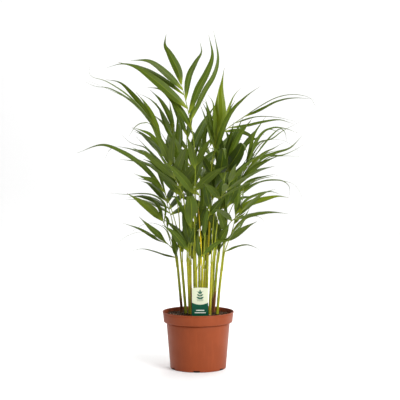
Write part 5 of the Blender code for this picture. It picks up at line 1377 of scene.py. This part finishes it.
def build_label(settings):
    """Card with rounded shoulders and eased edges, and a generic leaf sprig printed on it."""
    bm = bmesh.new()
    front, back = label_rings()
    near = [bm.verts.new(p) for p in front]
    far = [bm.verts.new(p) for p in back]
    bm.faces.new(near[::-1])
    bm.faces.new(far)
    for i in range(len(near)):
        j = (i + 1) % len(near)
        bm.faces.new((near[i], near[j], far[j], far[i]))
    bmesh.ops.recalc_face_normals(bm, faces=bm.faces[:])
    rim = [e for e in bm.edges if e.calc_face_angle(0.0) > 1.2]
    bmesh.ops.bevel(bm, geom=rim, offset=0.00022, segments=2, affect="EDGES", profile=0.7)
    low = SOIL_LEVEL + 0.0430
    flat_print(bm, bar_outline(0.0, low, 0.0150, 0.0012), 0.00005, 1)
    flat_print(bm, bar_outline(0.0, low + 0.0125, 0.0010, 0.0190), 0.00006, 1)
    for level, (length, lean) in enumerate(((0.0098, 64), (0.0092, 52), (0.0076, 38))):
        height = low + 0.0050 + 0.0056 * level
        for side in (1, -1):
            outline = leaf_outline(0.0003 * side, height, length, length * 0.46, lean * side)
            flat_print(bm, outline, 0.00005, 1)
    flat_print(bm, leaf_outline(0.0, low + 0.0205, 0.0070, 0.0032, 0), 0.00005, 1)
    band = SOIL_LEVEL + 0.0200
    flat_print(bm, bar_outline(0.0003, band, 0.0200, 0.0022), 0.00005, 2)
    flat_print(bm, bar_outline(0.0003, band - 0.0056, 0.0270, 0.0022), 0.00005, 2)
    mesh = bpy.data.meshes.new("label_card")
    bm.to_mesh(mesh)
    bm.free()
    layer = mesh.uv_layers.new(name="card")
    low_z = SOIL_LEVEL - LABEL_DEPTH
    for loop in mesh.loops:
        place = mesh.vertices[loop.vertex_index].co
        layer.data[loop.index].uv = (
            (place.x - LABEL_X) / LABEL_WIDTH + 0.5, (place.z - low_z) / (LABEL_SHOWN + LABEL_DEPTH),
        )
    mesh.materials.append(label_finish(settings))
    mesh.materials.append(ink_finish("dark green ink", tuple(settings.ink_colour)))
    mesh.materials.append(ink_finish("pale ink", (0.700, 0.760, 0.660)))
    for polygon in mesh.polygons:
        polygon.use_smooth = True
    mesh.set_sharp_from_angle(angle=math.radians(40))
    return place_piece("label_card", mesh, "plant_label", "plant_label")


# ---------------------------------------------------------------- pot
POT_SIDES = 160


def pot_profile():
    """Pot wall from the rim down its outer side, over the floor, and back up inside."""
    lip_low = POT_HEIGHT - POT_LIP_HEIGHT
    lip = POT_RIM_RADIUS - POT_LIP_DROP
    body = lip - POT_BODY_STEP
    foot = body - POT_TAPER
    top = POT_HEIGHT
    rim = POT_RIM_RADIUS
    wall = POT_WALL
    points = [
        (rim - wall * 0.50, top), (rim - wall * 0.26, top - 0.00010), (rim - wall * 0.08, top - 0.0004),
        (rim, top - 0.0010), (rim, top - 0.0024), (rim - 0.0003, top - 0.0030),
        (rim - 0.0010, top - 0.0034), (rim - 0.0013, top - 0.0037), (rim - 0.0013, top - 0.0041),
        (rim - 0.0011, top - 0.0047),
    ]
    for i in range(1, 7):
        share = i / 6
        points.append((rim - 0.0011 - (POT_LIP_DROP - 0.0013) * share,
                       top - 0.0047 - (POT_LIP_HEIGHT - 0.0058) * share))
    points += [
        (lip + 0.0001, lip_low + 0.0009), (lip - 0.0002, lip_low + 0.0003),
        (lip - 0.0008, lip_low), (lip - 0.0022, lip_low + 0.0001),
        (body + 0.0012, lip_low + 0.0006), (body - 0.0002, lip_low + 0.0006),
        (body - 0.0008, lip_low + 0.0001), (body - 0.0009, lip_low - 0.0014),
        (body - 0.0006, lip_low - 0.0024), (body - 0.0001, lip_low - 0.0031),
        (body, lip_low - 0.0044), (body - 0.0002, lip_low - 0.0066),
    ]
    base = lip_low - 0.0066
    for i in range(1, 15):
        share = i / 15
        points.append((body - 0.0001 - POT_TAPER * share, base - (base - POT_FOOT_CHAMFER) * share))
    points += [
        (foot, POT_FOOT_CHAMFER), (foot - 0.0003, POT_FOOT_CHAMFER * 0.62),
        (foot - 0.0010, POT_FOOT_CHAMFER * 0.28), (foot - 0.0020, POT_FOOT_CHAMFER * 0.06),
        (foot - 0.0030, 0.0), (foot - 0.0075, 0.0), (foot - 0.0083, 0.0004),
        (foot - 0.0088, 0.0008), (foot * 0.62, 0.0008), (foot * 0.60, 0.0003),
        (foot * 0.58, 0.0), (foot * 0.54, 0.0), (foot * 0.52, 0.0003), (foot * 0.50, 0.0008),
        (0.0, 0.0008), (0.0, POT_FLOOR),
        (foot - wall - 0.0026, POT_FLOOR), (foot - wall - 0.0008, POT_FLOOR + 0.0006),
        (foot - wall, POT_FLOOR + 0.0024),
    ]
    for i in range(1, 8):
        share = i / 8
        points.append((foot - wall + POT_TAPER * share,
                       POT_FLOOR + 0.0024 + (lip_low - 0.0058 - POT_FLOOR - 0.0024) * share))
    points += [
        (body - wall - 0.0001, lip_low - 0.0054), (body - wall - 0.0001, lip_low - 0.0004),
        (body - wall + 0.0006, lip_low + 0.0014), (body + 0.0006, lip_low + 0.0024),
        (lip - wall - 0.0010, lip_low + 0.0028), (lip - wall - 0.0004, lip_low + 0.0040),
    ]
    for i in range(1, 6):
        share = i / 6
        points.append((lip - wall - 0.0004 + (POT_LIP_DROP + 0.0002) * share,
                       lip_low + 0.0040 + (POT_LIP_HEIGHT - 0.0052) * share))
    points += [
        (rim - wall - 0.0001, top - 0.0010), (rim - wall * 0.93, top - 0.0004),
        (rim - wall * 0.74, top - 0.0001), (rim - wall * 0.50, top),
    ]
    return points


def build_pot(settings):
    """Thin-walled pot: turned from its profile, with the drain notches cut in its foot."""
    profile = pot_profile()
    mesh = bpy.data.meshes.new("pot_shell")
    mesh.from_pydata([(r, 0.0, z) for r, z in profile], [(i, i + 1) for i in range(len(profile) - 1)], [])
    turned = bpy.data.objects.new("pot_turned", mesh)
    bpy.context.scene.collection.objects.link(turned)
    screw = turned.modifiers.new("turn", "SCREW")
    screw.axis = "Z"
    screw.steps = POT_SIDES
    screw.render_steps = POT_SIDES
    screw.use_merge_vertices = True
    screw.merge_threshold = 0.00002
    lip = POT_RIM_RADIUS - POT_LIP_DROP
    foot = lip - POT_BODY_STEP - POT_TAPER
    bm = bmesh.new()
    for i in range(DRAIN_COUNT):
        angle = math.radians(DRAIN_TURN + i * 360.0 / DRAIN_COUNT)
        made = bmesh.ops.create_cube(bm, size=1.0)["verts"]
        reach = foot - DRAIN_DEPTH / 2 + 0.002
        bmesh.ops.scale(bm, vec=(DRAIN_DEPTH, DRAIN_WIDTH, DRAIN_HEIGHT * 2), verts=made)
        bmesh.ops.translate(bm, vec=(reach, 0.0, 0.0), verts=made)
        bmesh.ops.rotate(bm, verts=made, matrix=Matrix.Rotation(angle, 3, "Z"))
    upright = [e for e in bm.edges if abs((e.verts[0].co - e.verts[1].co).z) < 0.001]
    high = [e for e in upright if min(v.co.z for v in e.verts) > 0.0]
    bmesh.ops.bevel(bm, geom=high, offset=0.0012, segments=3, affect="EDGES", profile=0.5)
    cutter_mesh = bpy.data.meshes.new("drain_cutter")
    bm.to_mesh(cutter_mesh)
    bm.free()
    cutter = bpy.data.objects.new("drain_cutter", cutter_mesh)
    bpy.context.scene.collection.objects.link(cutter)
    cut = turned.modifiers.new("drains", "BOOLEAN")
    cut.operation = "DIFFERENCE"
    cut.solver = "EXACT"
    cut.object = cutter
    graph = bpy.context.evaluated_depsgraph_get()
    whole = bpy.data.meshes.new_from_object(turned.evaluated_get(graph))
    bpy.data.objects.remove(turned)
    bpy.data.objects.remove(cutter)
    whole.materials.clear()
    whole.materials.append(pot_finish(settings))
    inner = []
    drains = []
    for vert in whole.vertices:
        reach = math.hypot(vert.co.x, vert.co.y)
        height = vert.co.z
        inner.append(1.0 if height > SOIL_LEVEL - 0.012 and reach < inner_face(height) + 0.0007 else 0.0)
        # Painted shade mark: points inside the drain notches and under the foot, painted near-black in the
        # pot's finish.
        drains.append(1.0 if height < DRAIN_HEIGHT + 0.0002 and reach < foot - 0.0012 else 0.0)
    whole.attributes.new("inner_wall", "FLOAT", "POINT").data.foreach_set("value", inner)
    whole.attributes.new("drain_painted_shade", "FLOAT", "POINT").data.foreach_set("value", drains)
    for polygon in whole.polygons:
        polygon.use_smooth = True
        polygon.material_index = 0
    whole.set_sharp_from_angle(angle=math.radians(42))
    return place_piece("pot_shell", whole, "pot", "pot")


def inner_face(height):
    """Radius of the pot's inner face at a height."""
    lip_low = POT_HEIGHT - POT_LIP_HEIGHT
    lip = POT_RIM_RADIUS - POT_LIP_DROP
    body = lip - POT_BODY_STEP
    if height < lip_low - 0.005:
        share = height / (lip_low - 0.005)
        return body - POT_TAPER * (1.0 - share) - POT_WALL
    if height < lip_low:
        share = (height - lip_low + 0.005) / 0.005
        return body + (lip - body) * share - POT_WALL
    return lip + POT_LIP_DROP * (height - lip_low) / POT_LIP_HEIGHT - POT_WALL


# ---------------------------------------------------------------- soil
SOIL_SIDES = 150
SOIL_RINGS = 58
# Outline of one loose bit: how far along it, and how wide there, in shares of its size.
BIT_SHAPE = ((-1.0, 0.35), (-0.55, 0.85), (0.1, 1.0), (0.65, 0.75), (1.0, 0.3))


def soil_height(x, y):
    """Top of the soil: a low mound with crumbs, hollows and a rim that sinks to the wall."""
    reach = min(1.0, math.hypot(x, y) / (POT_RIM_RADIUS - POT_LIP_DROP))
    place = Vector((x, y, 0.37))
    lumps = noise.fractal(place * 85.0, 0.9, 2.1, 4, noise_basis="PERLIN_ORIGINAL")
    crumbs = noise.fractal(place * 420.0, 0.8, 2.0, 3, noise_basis="PERLIN_ORIGINAL")
    return SOIL_LEVEL + SOIL_MOUND * (1.0 - reach**2) + 0.0017 * lumps + 0.0008 * crumbs


def soil_map(rings):
    return [[(p.x * 5 + 0.5, p.y * 5 + 0.5) for p in ring] for ring in rings]


def build_soil(settings):
    """Soil bed with a crumbly top, and loose crumbs, bark chips and pale grit lying on it."""
    body = Body("bed", "bit_tone")
    lip_low = POT_HEIGHT - POT_LIP_HEIGHT
    rows = [(0.012, POT_FLOOR + 0.0004), (0.6 * inner_face(0.004), POT_FLOOR + 0.0004),
            (inner_face(POT_FLOOR) - 0.0030, POT_FLOOR + 0.0004),
            (inner_face(POT_FLOOR + 0.004) - 0.0006, POT_FLOOR + 0.004),
            (inner_face(lip_low * 0.5) - 0.0006, lip_low * 0.5),
            (inner_face(lip_low - 0.0062) - 0.0006, lip_low - 0.0062),
            (inner_face(lip_low - 0.0062) - 0.0008, lip_low - 0.0008),
            (inner_face(lip_low) - 0.0030, lip_low + 0.0040),
            (inner_face(lip_low + 0.006) - 0.0008, lip_low + 0.0062)]
    around = [ROUND * i / SOIL_SIDES for i in range(SOIL_SIDES)]
    rings = []
    for radius, height in rows:
        rings.append([Vector((radius * math.cos(a), radius * math.sin(a), height)) for a in around])
    outer = inner_face(SOIL_LEVEL) - 0.0008
    for step in range(SOIL_RINGS):
        radius = outer * (1.0 - step / SOIL_RINGS) ** 0.85
        spots = [(radius * math.cos(a), radius * math.sin(a)) for a in around]
        rings.append([Vector((x, y, soil_height(x, y))) for x, y in spots])
    body.add_rings(rings, soil_map(rings))
    chance = random.Random(21)
    for _ in range(settings.chip_count):
        radius = outer * 0.985 * math.sqrt(chance.random())
        angle = chance.uniform(0, ROUND)
        x = radius * math.cos(angle)
        y = radius * math.sin(angle)
        kind = chance.random()
        if kind < 0.62:
            size = chance.uniform(0.0008, 0.0022)
            stretch = (1.0, chance.uniform(0.6, 1.0), chance.uniform(0.5, 0.9))
            tone = chance.uniform(0.0, 0.25)
        elif kind < 0.93:
            size = chance.uniform(0.0014, 0.0036)
            stretch = (1.0, chance.uniform(0.25, 0.5), chance.uniform(0.15, 0.35))
            tone = chance.uniform(0.3, 0.8)
        else:
            size = chance.uniform(0.0007, 0.0015)
            stretch = (1.0, 0.9, 0.8)
            tone = 0.95
        turn = Matrix.Rotation(chance.uniform(0, 6.28), 3, "Z")
        tilt = Matrix.Rotation(chance.uniform(-0.5, 0.5), 3, "X")
        middle = Vector((x, y, soil_height(x, y) + size * stretch[2] * 0.3))
        limit = inner_face(middle.z) - 0.0006 - size
        if radius > limit:
            middle.x *= limit / radius
            middle.y *= limit / radius
        crumb = []
        for part, wide in BIT_SHAPE:
            ring = []
            for k in range(6):
                bend = math.pi * k / 3
                rough = chance.uniform(0.8, 1.15)
                point = Vector((part * size, math.cos(bend) * wide * size * rough * stretch[1],
                                math.sin(bend) * wide * size * rough * stretch[2]))
                ring.append(middle + turn @ (tilt @ point))
            crumb.append(ring)
        body.add_rings(crumb, soil_map(crumb), 0, bit_tone=tone)
    mesh = body.finish("soil_bed", [soil_finish(settings)], 50.0)
    return place_piece("soil_bed", mesh, "potting_soil", "potting_soil")


# ---------------------------------------------------------------- shoots
# How far up the brown, fibrous cover reaches on each shoot, as a share of its height.
SHOOT_BARK = (
    0.46, 0.14, 0.10, 0.62, 0.16, 0.40, 0.22, 0.12, 0.34, 0.20, 0.20, 0.42, 0.55, 0.06, 0.08,
)
SHOOT_SIDES = 18
SHOOT_STEPS = 90
SHEATH_STEP = 0.00020  # how much thinner the stem is past the rim of a sheath
MOUTH_FROM = 0.93  # where a shoot, or a rachis, begins to close in to its end


def sheath_at(part, angle, rims, slant, facing):
    """Radius of a shoot inside its sheaths, and how near a sheath's rim is, from 0 to 1."""
    lean = slant * math.cos(angle - facing)
    radius = SHOOT_RADIUS * (1.05 + 0.08 * part)
    nearness = 0.0
    for level, rim in enumerate(rims):
        gap = part - rim - lean * (1 + level)
        radius -= SHEATH_STEP * min(1.0, max(0.0, gap / 0.008 + 0.5))
        radius += SHEATH_STEP / 2 * math.exp(-((gap + 0.012) / 0.014) ** 2)
        nearness = max(nearness, 0.7 * math.exp(-((gap + 0.002) / 0.006) ** 2))
    if part > MOUTH_FROM:
        closing = (part - MOUTH_FROM) / (1.0 - MOUTH_FROM)
        radius *= 1.0 - 0.12 * closing**1.6
        nearness = max(nearness, closing * 0.4)
    return radius, nearness


def build_shoots():
    """Each shoot: sheaths wrapped one in another, each ending in a slanting rim."""
    material = shoot_finish()
    chance = random.Random(31)
    for number, (path, bark) in enumerate(zip(growth_plan()["shoots"], SHOOT_BARK)):
        body = Body("stem", "stem_bark", "stem_tint", "sheath_rim")
        tint = chance.random()
        rims = (chance.uniform(0.44, 0.52), chance.uniform(0.66, 0.76))
        slant = chance.uniform(0.010, 0.024)
        facing = chance.uniform(0, ROUND)
        rim_marks = []

        def radius_at(part, angle):
            radius, nearness = sheath_at(part, angle, rims, slant, facing)
            rim_marks.append(nearness)
            radius *= 1.0 + 0.035 * math.sin(3 * angle + 9 * part + number)
            return radius * (1.0 + 0.10 * math.exp(-((part - 0.17) / 0.05) ** 2))

        rings, maps = turned_skin(smooth_path(path, SHOOT_STEPS), SHOOT_SIDES, radius_at)
        body.add_rings(rings, maps, 0, stem_bark=bark, stem_tint=tint, sheath_rim=rim_marks)
        node = f"shoot_{number + 1:02d}"
        place_piece(node + "_stem", body.finish(node + "_stem", [material]), "shoot", node)


# ---------------------------------------------------------------- spears
SPEAR_STEPS = 70
SPEAR_SIDES = 14
SPEAR_SWELL = (1.05, 1.25, 1.35, 1.25, 1.0, 0.62, 0.14)  # thickness along it, in petiole radii
SPEAR_TURNS = 1.4  # how often its edge winds round


def spear_radius(part, angle):
    wound = (angle / ROUND + part * SPEAR_TURNS) % 1.0
    return PETIOLE_RADIUS * eased(SPEAR_SWELL, part) * (1.0 + 0.16 * wound)


def build_spears():
    """Unopened leaves: a tight roll, drawn out to a fine point, with its edge winding round."""
    material = spear_finish()
    for frond, style, _, _ in growth_plan()["fronds"]:
        if style != "spear":
            continue
        body = Body("stem")
        path = smooth_path([frond.mouth, *frond.points], SPEAR_STEPS)
        body.add_rings(*turned_skin(path, SPEAR_SIDES, spear_radius))
        mesh = body.finish(frond.name + "_roll", [material])
        place_piece(frond.name + "_roll", mesh, "spear", frond.name)


# ---------------------------------------------------------------- fronds
# Width of a blade from foot to tip, as shares of its full width, and its thickness in metres.
BLADE_OUTLINE = (0.20, 0.52, 0.80, 0.95, 1.0, 0.97, 0.89, 0.77, 0.61, 0.42, 0.23, 0.10, 0.03)
BLADE_BODY = (0.0014, 0.0007, 0.00045, 0.00038, 0.00034, 0.0003, 0.0002)
BLADE_ACROSS = (-1.0, -0.86, -0.6, -0.3, -0.08, 0.0, 0.08, 0.3, 0.6, 0.86, 1.0)
STALK_STEPS = 120
STALK_SIDES = 12


def add_blade(body, leaflet, foot, fold, tint, chance):
    """One leaflet: folded along its keel, a little wavy at the margins, thin to its point."""
    leaflet.points = [foot, *leaflet.points[1:]]
    length = sum((b - a).length for a, b in zip(leaflet.points, leaflet.points[1:]))
    steps = int(min(40, max(18, length / 0.005)))
    frames = leaflet.frames(steps)
    middle = frames[steps // 2]
    upper = 1.0 if middle[2].dot(leaflet.face_to) > 0 else -1.0
    wave = chance.uniform(5, 9)
    phase = chance.uniform(0, 6.28)
    other = chance.uniform(0, 6.28)
    rings = []
    maps = []
    under = []
    for i, (centre, wide, thin) in enumerate(frames):
        part = i / steps
        half = max(0.5 * leaflet.width * eased(BLADE_OUTLINE, part), 0.00022)
        thick = eased(BLADE_BODY, part)
        deep = fold * (0.6 + 0.4 * math.cos(part * 2.2)) * min(1.0, 0.3 + part * 4)
        up = thin * upper
        top = []
        below = []
        for s in BLADE_ACROSS:
            sag = -deep * half * abs(s) ** 1.15
            start = phase if s > 0 else other
            ripple = 0.030 * half * s**2 * math.sin(part * wave * 2 * math.pi + start)
            place = centre + wide * (half * s) + up * (sag + ripple)
            thin_here = thick * (1.0 - 0.55 * abs(s) ** 3) + (0.00035 if s == 0.0 else 0.0) * (1 - part)
            top.append(place + up * (thin_here * 0.5))
            below.append(place - up * (thin_here * 0.5))
        rings.append(top + below[::-1])
        across_top = [((s + 1) / 2, part) for s in BLADE_ACROSS]
        maps.append(across_top + across_top[::-1])
        under += [0.0] * len(top) + [1.0] * len(below)
    body.add_rings(rings, maps, 0, leaf_tint=tint, underside=under)


def add_stalk(body, frond, path, tint):
    """Petiole and rachis in one: flared where it leaves the shoot, channelled on its upper side."""

    def radius_at(part, angle):
        size = frond.radius(part) * 1.06
        size *= 1.0 + 0.32 * math.exp(-part * 8)
        if part > MOUTH_FROM:
            size *= 1.0 - 0.45 * (part - MOUTH_FROM) / (1.0 - MOUTH_FROM)
        return size * (0.88 if angle == 0.0 else 1.0)

    rings, maps = turned_skin(path, STALK_SIDES, radius_at)
    body.add_rings(rings, maps, 1, leaf_tint=tint)


# How light each frond is, from 0 for the darkest to 1 for the youngest and lightest: the light end is partly
# the young blades' own tone and partly painted backlight glow.
FROND_TONE = {
    "tall": 0.52, "left_high": 0.62, "left_back": 0.45, "middle_high": 0.80, "right_high": 0.55,
    "right_front": 0.22, "right_arm": 0.60, "right_middle": 0.62, "right_low": 0.70,
    "left_arm": 0.50, "left_inner": 0.42, "left_low": 0.62, "left_foot": 0.42, "front_left": 0.28,
    "front_low": 0.34, "front_middle": 0.20, "centre": 0.46, "right_inner": 0.24,
    "right_foot": 0.48, "back_foot": 0.10, "low_left": 0.22, "low_right": 0.34,
    "low_back_left": 0.05, "low_back_right": 0.05, "low_right_back": 0.10, "low_left_back": 0.12,
}


def build_fronds(settings):
    """Every frond as one grown piece: stalk and leaflets, toned leaflet by leaflet."""
    leaf = leaf_finish(settings)
    petiole = petiole_finish()
    chance = random.Random(7)
    for frond, style, _, _ in growth_plan()["fronds"]:
        if style == "spear":
            continue
        path = smooth_path([frond.mouth, *frond.points], STALK_STEPS)
        body = Body("blade", "leaf_tint", "underside")
        own = FROND_TONE.get(frond.name.removeprefix("frond_"), 0.30)
        add_stalk(body, frond, path, own)
        for index, leaflet in frond.leaflets:
            place = STALK_STEPS * index / STEPS
            low = min(int(place), STALK_STEPS - 1)
            foot = path[low].lerp(path[low + 1], place - low)
            fold = settings.fold * chance.uniform(0.6, 1.5)
            tint = min(1.0, max(0.0, own + chance.uniform(-0.2, 0.2)))
            add_blade(body, leaflet, foot, fold, tint, chance)
        mesh = body.finish(frond.name + "_leaf", [leaf, petiole])
        place_piece(frond.name + "_leaf", mesh, "frond", frond.name)


# ---------------------------------------------------------------- stage
def build_stage(settings):
    """Pale floor that curves up behind, broad soft lights, and the camera."""
    bm = bmesh.new()
    rows = []
    for i in range(25):
        bend = math.radians(90 * i / 24)
        rows.append((2.6 + 1.2 * math.sin(bend), 1.2 - 1.2 * math.cos(bend)))
    rows = [(-4.5, 0.0), (0.0, 0.0), *rows, (3.8, 5.0)]
    verts = [[bm.verts.new((x, y, z)) for x in (-6.0, 6.0)] for y, z in rows]
    for low, high in zip(verts, verts[1:]):
        bm.faces.new((low[0], low[1], high[1], high[0]))
    mesh = bpy.data.meshes.new("studio_floor")
    bm.to_mesh(mesh)
    bm.free()
    mesh.materials.append(floor_finish(tuple(settings.floor_colour)))
    for polygon in mesh.polygons:
        polygon.use_smooth = True
    floor = bpy.data.objects.new("studio_floor", mesh)
    bpy.context.scene.collection.objects.link(floor)

    world = bpy.data.worlds.new("studio_air")
    world.use_nodes = True
    world.node_tree.nodes["Background"].inputs["Color"].default_value = (1.0, 1.0, 1.0, 1.0)
    world.node_tree.nodes["Background"].inputs["Strength"].default_value = settings.air
    bpy.context.scene.world = world

    aim = Vector((0.0, 0.0, 0.40))
    lights = (
        ("key_light", (1.9, -2.3, 1.7), settings.key, 1.7),
        ("fill_light", (-2.4, -1.6, 1.0), settings.fill, 1.8),
        ("top_light", (0.2, 0.3, 2.6), settings.top, 1.8),
        ("back_light", (0.6, 2.0, 1.7), settings.back, 1.6),
        ("wall_light", (0.0, 1.6, 2.6), settings.wall, 2.4),
    )
    for name, place, power, size in lights:
        data = bpy.data.lights.new(name, "AREA")
        data.energy = power
        data.size = size
        lamp = bpy.data.objects.new(name, data)
        lamp.location = place
        target = Vector((0.0, 4.0, 0.6)) if name == "wall_light" else aim
        lamp.rotation_euler = (target - Vector(place)).to_track_quat("-Z", "Y").to_euler()
        bpy.context.scene.collection.objects.link(lamp)

    data = bpy.data.cameras.new("studio_camera")
    data.sensor_width = 36.0
    data.lens = settings.lens
    data.clip_end = 30.0
    camera = bpy.data.objects.new("studio_camera", data)
    camera.location = (0.0045, -3.2, 0.6056)
    look = Vector((0.0045, 0.0, 0.4086)) - camera.location
    camera.rotation_euler = look.to_track_quat("-Z", "Y").to_euler()
    bpy.context.scene.collection.objects.link(camera)
    bpy.context.scene.camera = camera
    bpy.context.scene.view_settings.view_transform = "Standard"


# ---------------------------------------------------------------- settings
def colour_setting(name, description, default):
    return bpy.props.FloatVectorProperty(
        name=name, description=description, subtype="COLOR", size=3, min=0.0, max=1.0,
        default=default,
    )


class PotSettings(bpy.types.PropertyGroup):
    colour: colour_setting("Colour", "Colour of the moulded plastic", (0.262, 0.050, 0.011))


class SoilSettings(bpy.types.PropertyGroup):
    colour: colour_setting("Colour", "Colour of the damp mix", (0.060, 0.032, 0.018))
    chip_count: bpy.props.IntProperty(
        name="Loose bits", description="Crumbs, bark chips and grit lying on the soil",
        default=900, min=0, max=4000,
    )


class LabelSettings(bpy.types.PropertyGroup):
    upper_colour: colour_setting("Upper part", "Pale upper part of the card", (0.620, 0.650, 0.480))
    lower_colour: colour_setting("Lower part", "Deep lower part of the card", (0.004, 0.070, 0.036))
    ink_colour: colour_setting("Sprig", "Ink of the printed sprig", (0.030, 0.110, 0.065))
    split: bpy.props.FloatProperty(
        name="Split", description="Height of the border between the parts, at the middle",
        default=0.586, min=0.3, max=0.9, subtype="FACTOR",
    )
    bow: bpy.props.FloatProperty(
        name="Bow", description="How far the border rises towards the card's sides",
        default=0.20, min=0.0, max=1.0,
    )


class FoliageSettings(bpy.types.PropertyGroup):
    leaf_colour: colour_setting("Leaf", "Middle tone of the blades", (0.061, 0.091, 0.003))
    shade_colour: colour_setting("Dark leaf", "Tone of the oldest blades", (0.021, 0.038, 0.002))
    # Young leaf: partly the young blades' own tone, partly painted backlight glow.
    young_and_backlit_colour: colour_setting("Young leaf", "Tone of the youngest blades", (0.185, 0.235, 0.005))
    fold: bpy.props.FloatProperty(
        name="Fold", description="How sharply a blade is folded along its keel",
        default=0.22, min=0.0, max=1.0,
    )


class StageSettings(bpy.types.PropertyGroup):
    floor_colour: colour_setting("Floor", "Colour of the studio floor", (0.80, 0.80, 0.80))
    lens: bpy.props.FloatProperty(
        name="Lens", description="Focal length in millimetres", default=119.5, min=20.0, max=300.0,
    )
    air: bpy.props.FloatProperty(name="Air", description="Light from all round", default=0.26)
    key: bpy.props.FloatProperty(name="Key", description="Main light, front right", default=115.0)
    fill: bpy.props.FloatProperty(name="Fill", description="Second light, front left", default=5.0)
    top: bpy.props.FloatProperty(name="Top", description="Light from above", default=42.0)
    back: bpy.props.FloatProperty(name="Back", description="Light from behind", default=20.0)
    wall: bpy.props.FloatProperty(name="Wall", description="Light on the backdrop", default=26.0)


# ---------------------------------------------------------------- operators
class PALM_OT_pot(bpy.types.Operator):
    """Build the nursery pot"""
    bl_idname = "palm.pot"
    bl_label = "Nursery pot"

    def execute(self, context):
        build_pot(context.scene.palm_pot)
        return {"FINISHED"}


class PALM_OT_soil(bpy.types.Operator):
    """Build the potting soil with its loose bits"""
    bl_idname = "palm.soil"
    bl_label = "Potting soil"

    def execute(self, context):
        build_soil(context.scene.palm_soil)
        return {"FINISHED"}


class PALM_OT_label(bpy.types.Operator):
    """Build the plant label with its printed sprig"""
    bl_idname = "palm.label"
    bl_label = "Plant label"

    def execute(self, context):
        build_label(context.scene.palm_label)
        return {"FINISHED"}


class PALM_OT_shoots(bpy.types.Operator):
    """Build the sheathed shoots"""
    bl_idname = "palm.shoots"
    bl_label = "Shoots"

    def execute(self, context):
        build_shoots()
        return {"FINISHED"}


class PALM_OT_spears(bpy.types.Operator):
    """Build the rolled young leaves"""
    bl_idname = "palm.spears"
    bl_label = "Spears"

    def execute(self, context):
        build_spears()
        return {"FINISHED"}


class PALM_OT_fronds(bpy.types.Operator):
    """Build every frond with its stalk and leaflets"""
    bl_idname = "palm.fronds"
    bl_label = "Fronds"

    def execute(self, context):
        build_fronds(context.scene.palm_foliage)
        return {"FINISHED"}


class PALM_OT_stage(bpy.types.Operator):
    """Set up the floor, the lights and the camera"""
    bl_idname = "palm.stage"
    bl_label = "Studio"

    def execute(self, context):
        build_stage(context.scene.palm_stage)
        return {"FINISHED"}


class PALM_PT_panel(bpy.types.Panel):
    """Settings and builders of the potted palm"""
    bl_idname = "PALM_PT_panel"
    bl_label = "Potted palm"
    bl_space_type = "VIEW_3D"
    bl_region_type = "UI"
    bl_category = "Potted Palm"

    def draw(self, context):
        for title, settings, operators in (
            ("Pot", context.scene.palm_pot, ("palm.pot",)),
            ("Soil", context.scene.palm_soil, ("palm.soil",)),
            ("Label", context.scene.palm_label, ("palm.label",)),
            ("Plant", context.scene.palm_foliage, ("palm.shoots", "palm.spears", "palm.fronds")),
            ("Studio", context.scene.palm_stage, ("palm.stage",)),
        ):
            box = self.layout.box()
            box.label(text=title)
            for name in settings.__annotations__:
                box.prop(settings, name)
            for operator in operators:
                box.operator(operator)


SETTINGS = (
    ("palm_pot", PotSettings),
    ("palm_soil", SoilSettings),
    ("palm_label", LabelSettings),
    ("palm_foliage", FoliageSettings),
    ("palm_stage", StageSettings),
)
OPERATORS = (
    PALM_OT_pot, PALM_OT_soil, PALM_OT_label, PALM_OT_shoots, PALM_OT_spears, PALM_OT_fronds,
    PALM_OT_stage,
)


def register():
    for name, group in SETTINGS:
        bpy.utils.register_class(group)
        setattr(bpy.types.Scene, name, bpy.props.PointerProperty(type=group))
    for item in (*OPERATORS, PALM_PT_panel):
        bpy.utils.register_class(item)


def unregister():
    for item in (PALM_PT_panel, *OPERATORS[::-1]):
        bpy.utils.unregister_class(item)
    for name, group in SETTINGS[::-1]:
        delattr(bpy.types.Scene, name)
        bpy.utils.unregister_class(group)


def clear_startup():
    for name in ("Cube", "Light", "Camera"):
        obj = bpy.data.objects.get(name)
        if obj is not None:
            bpy.data.objects.remove(obj)


def main():
    clear_startup()
    register()
    bpy.ops.palm.pot()
    bpy.ops.palm.soil()
    bpy.ops.palm.label()
    bpy.ops.palm.shoots()
    bpy.ops.palm.spears()
    bpy.ops.palm.fronds()
    bpy.ops.palm.stage()


if __name__ == "__main__":
    main()
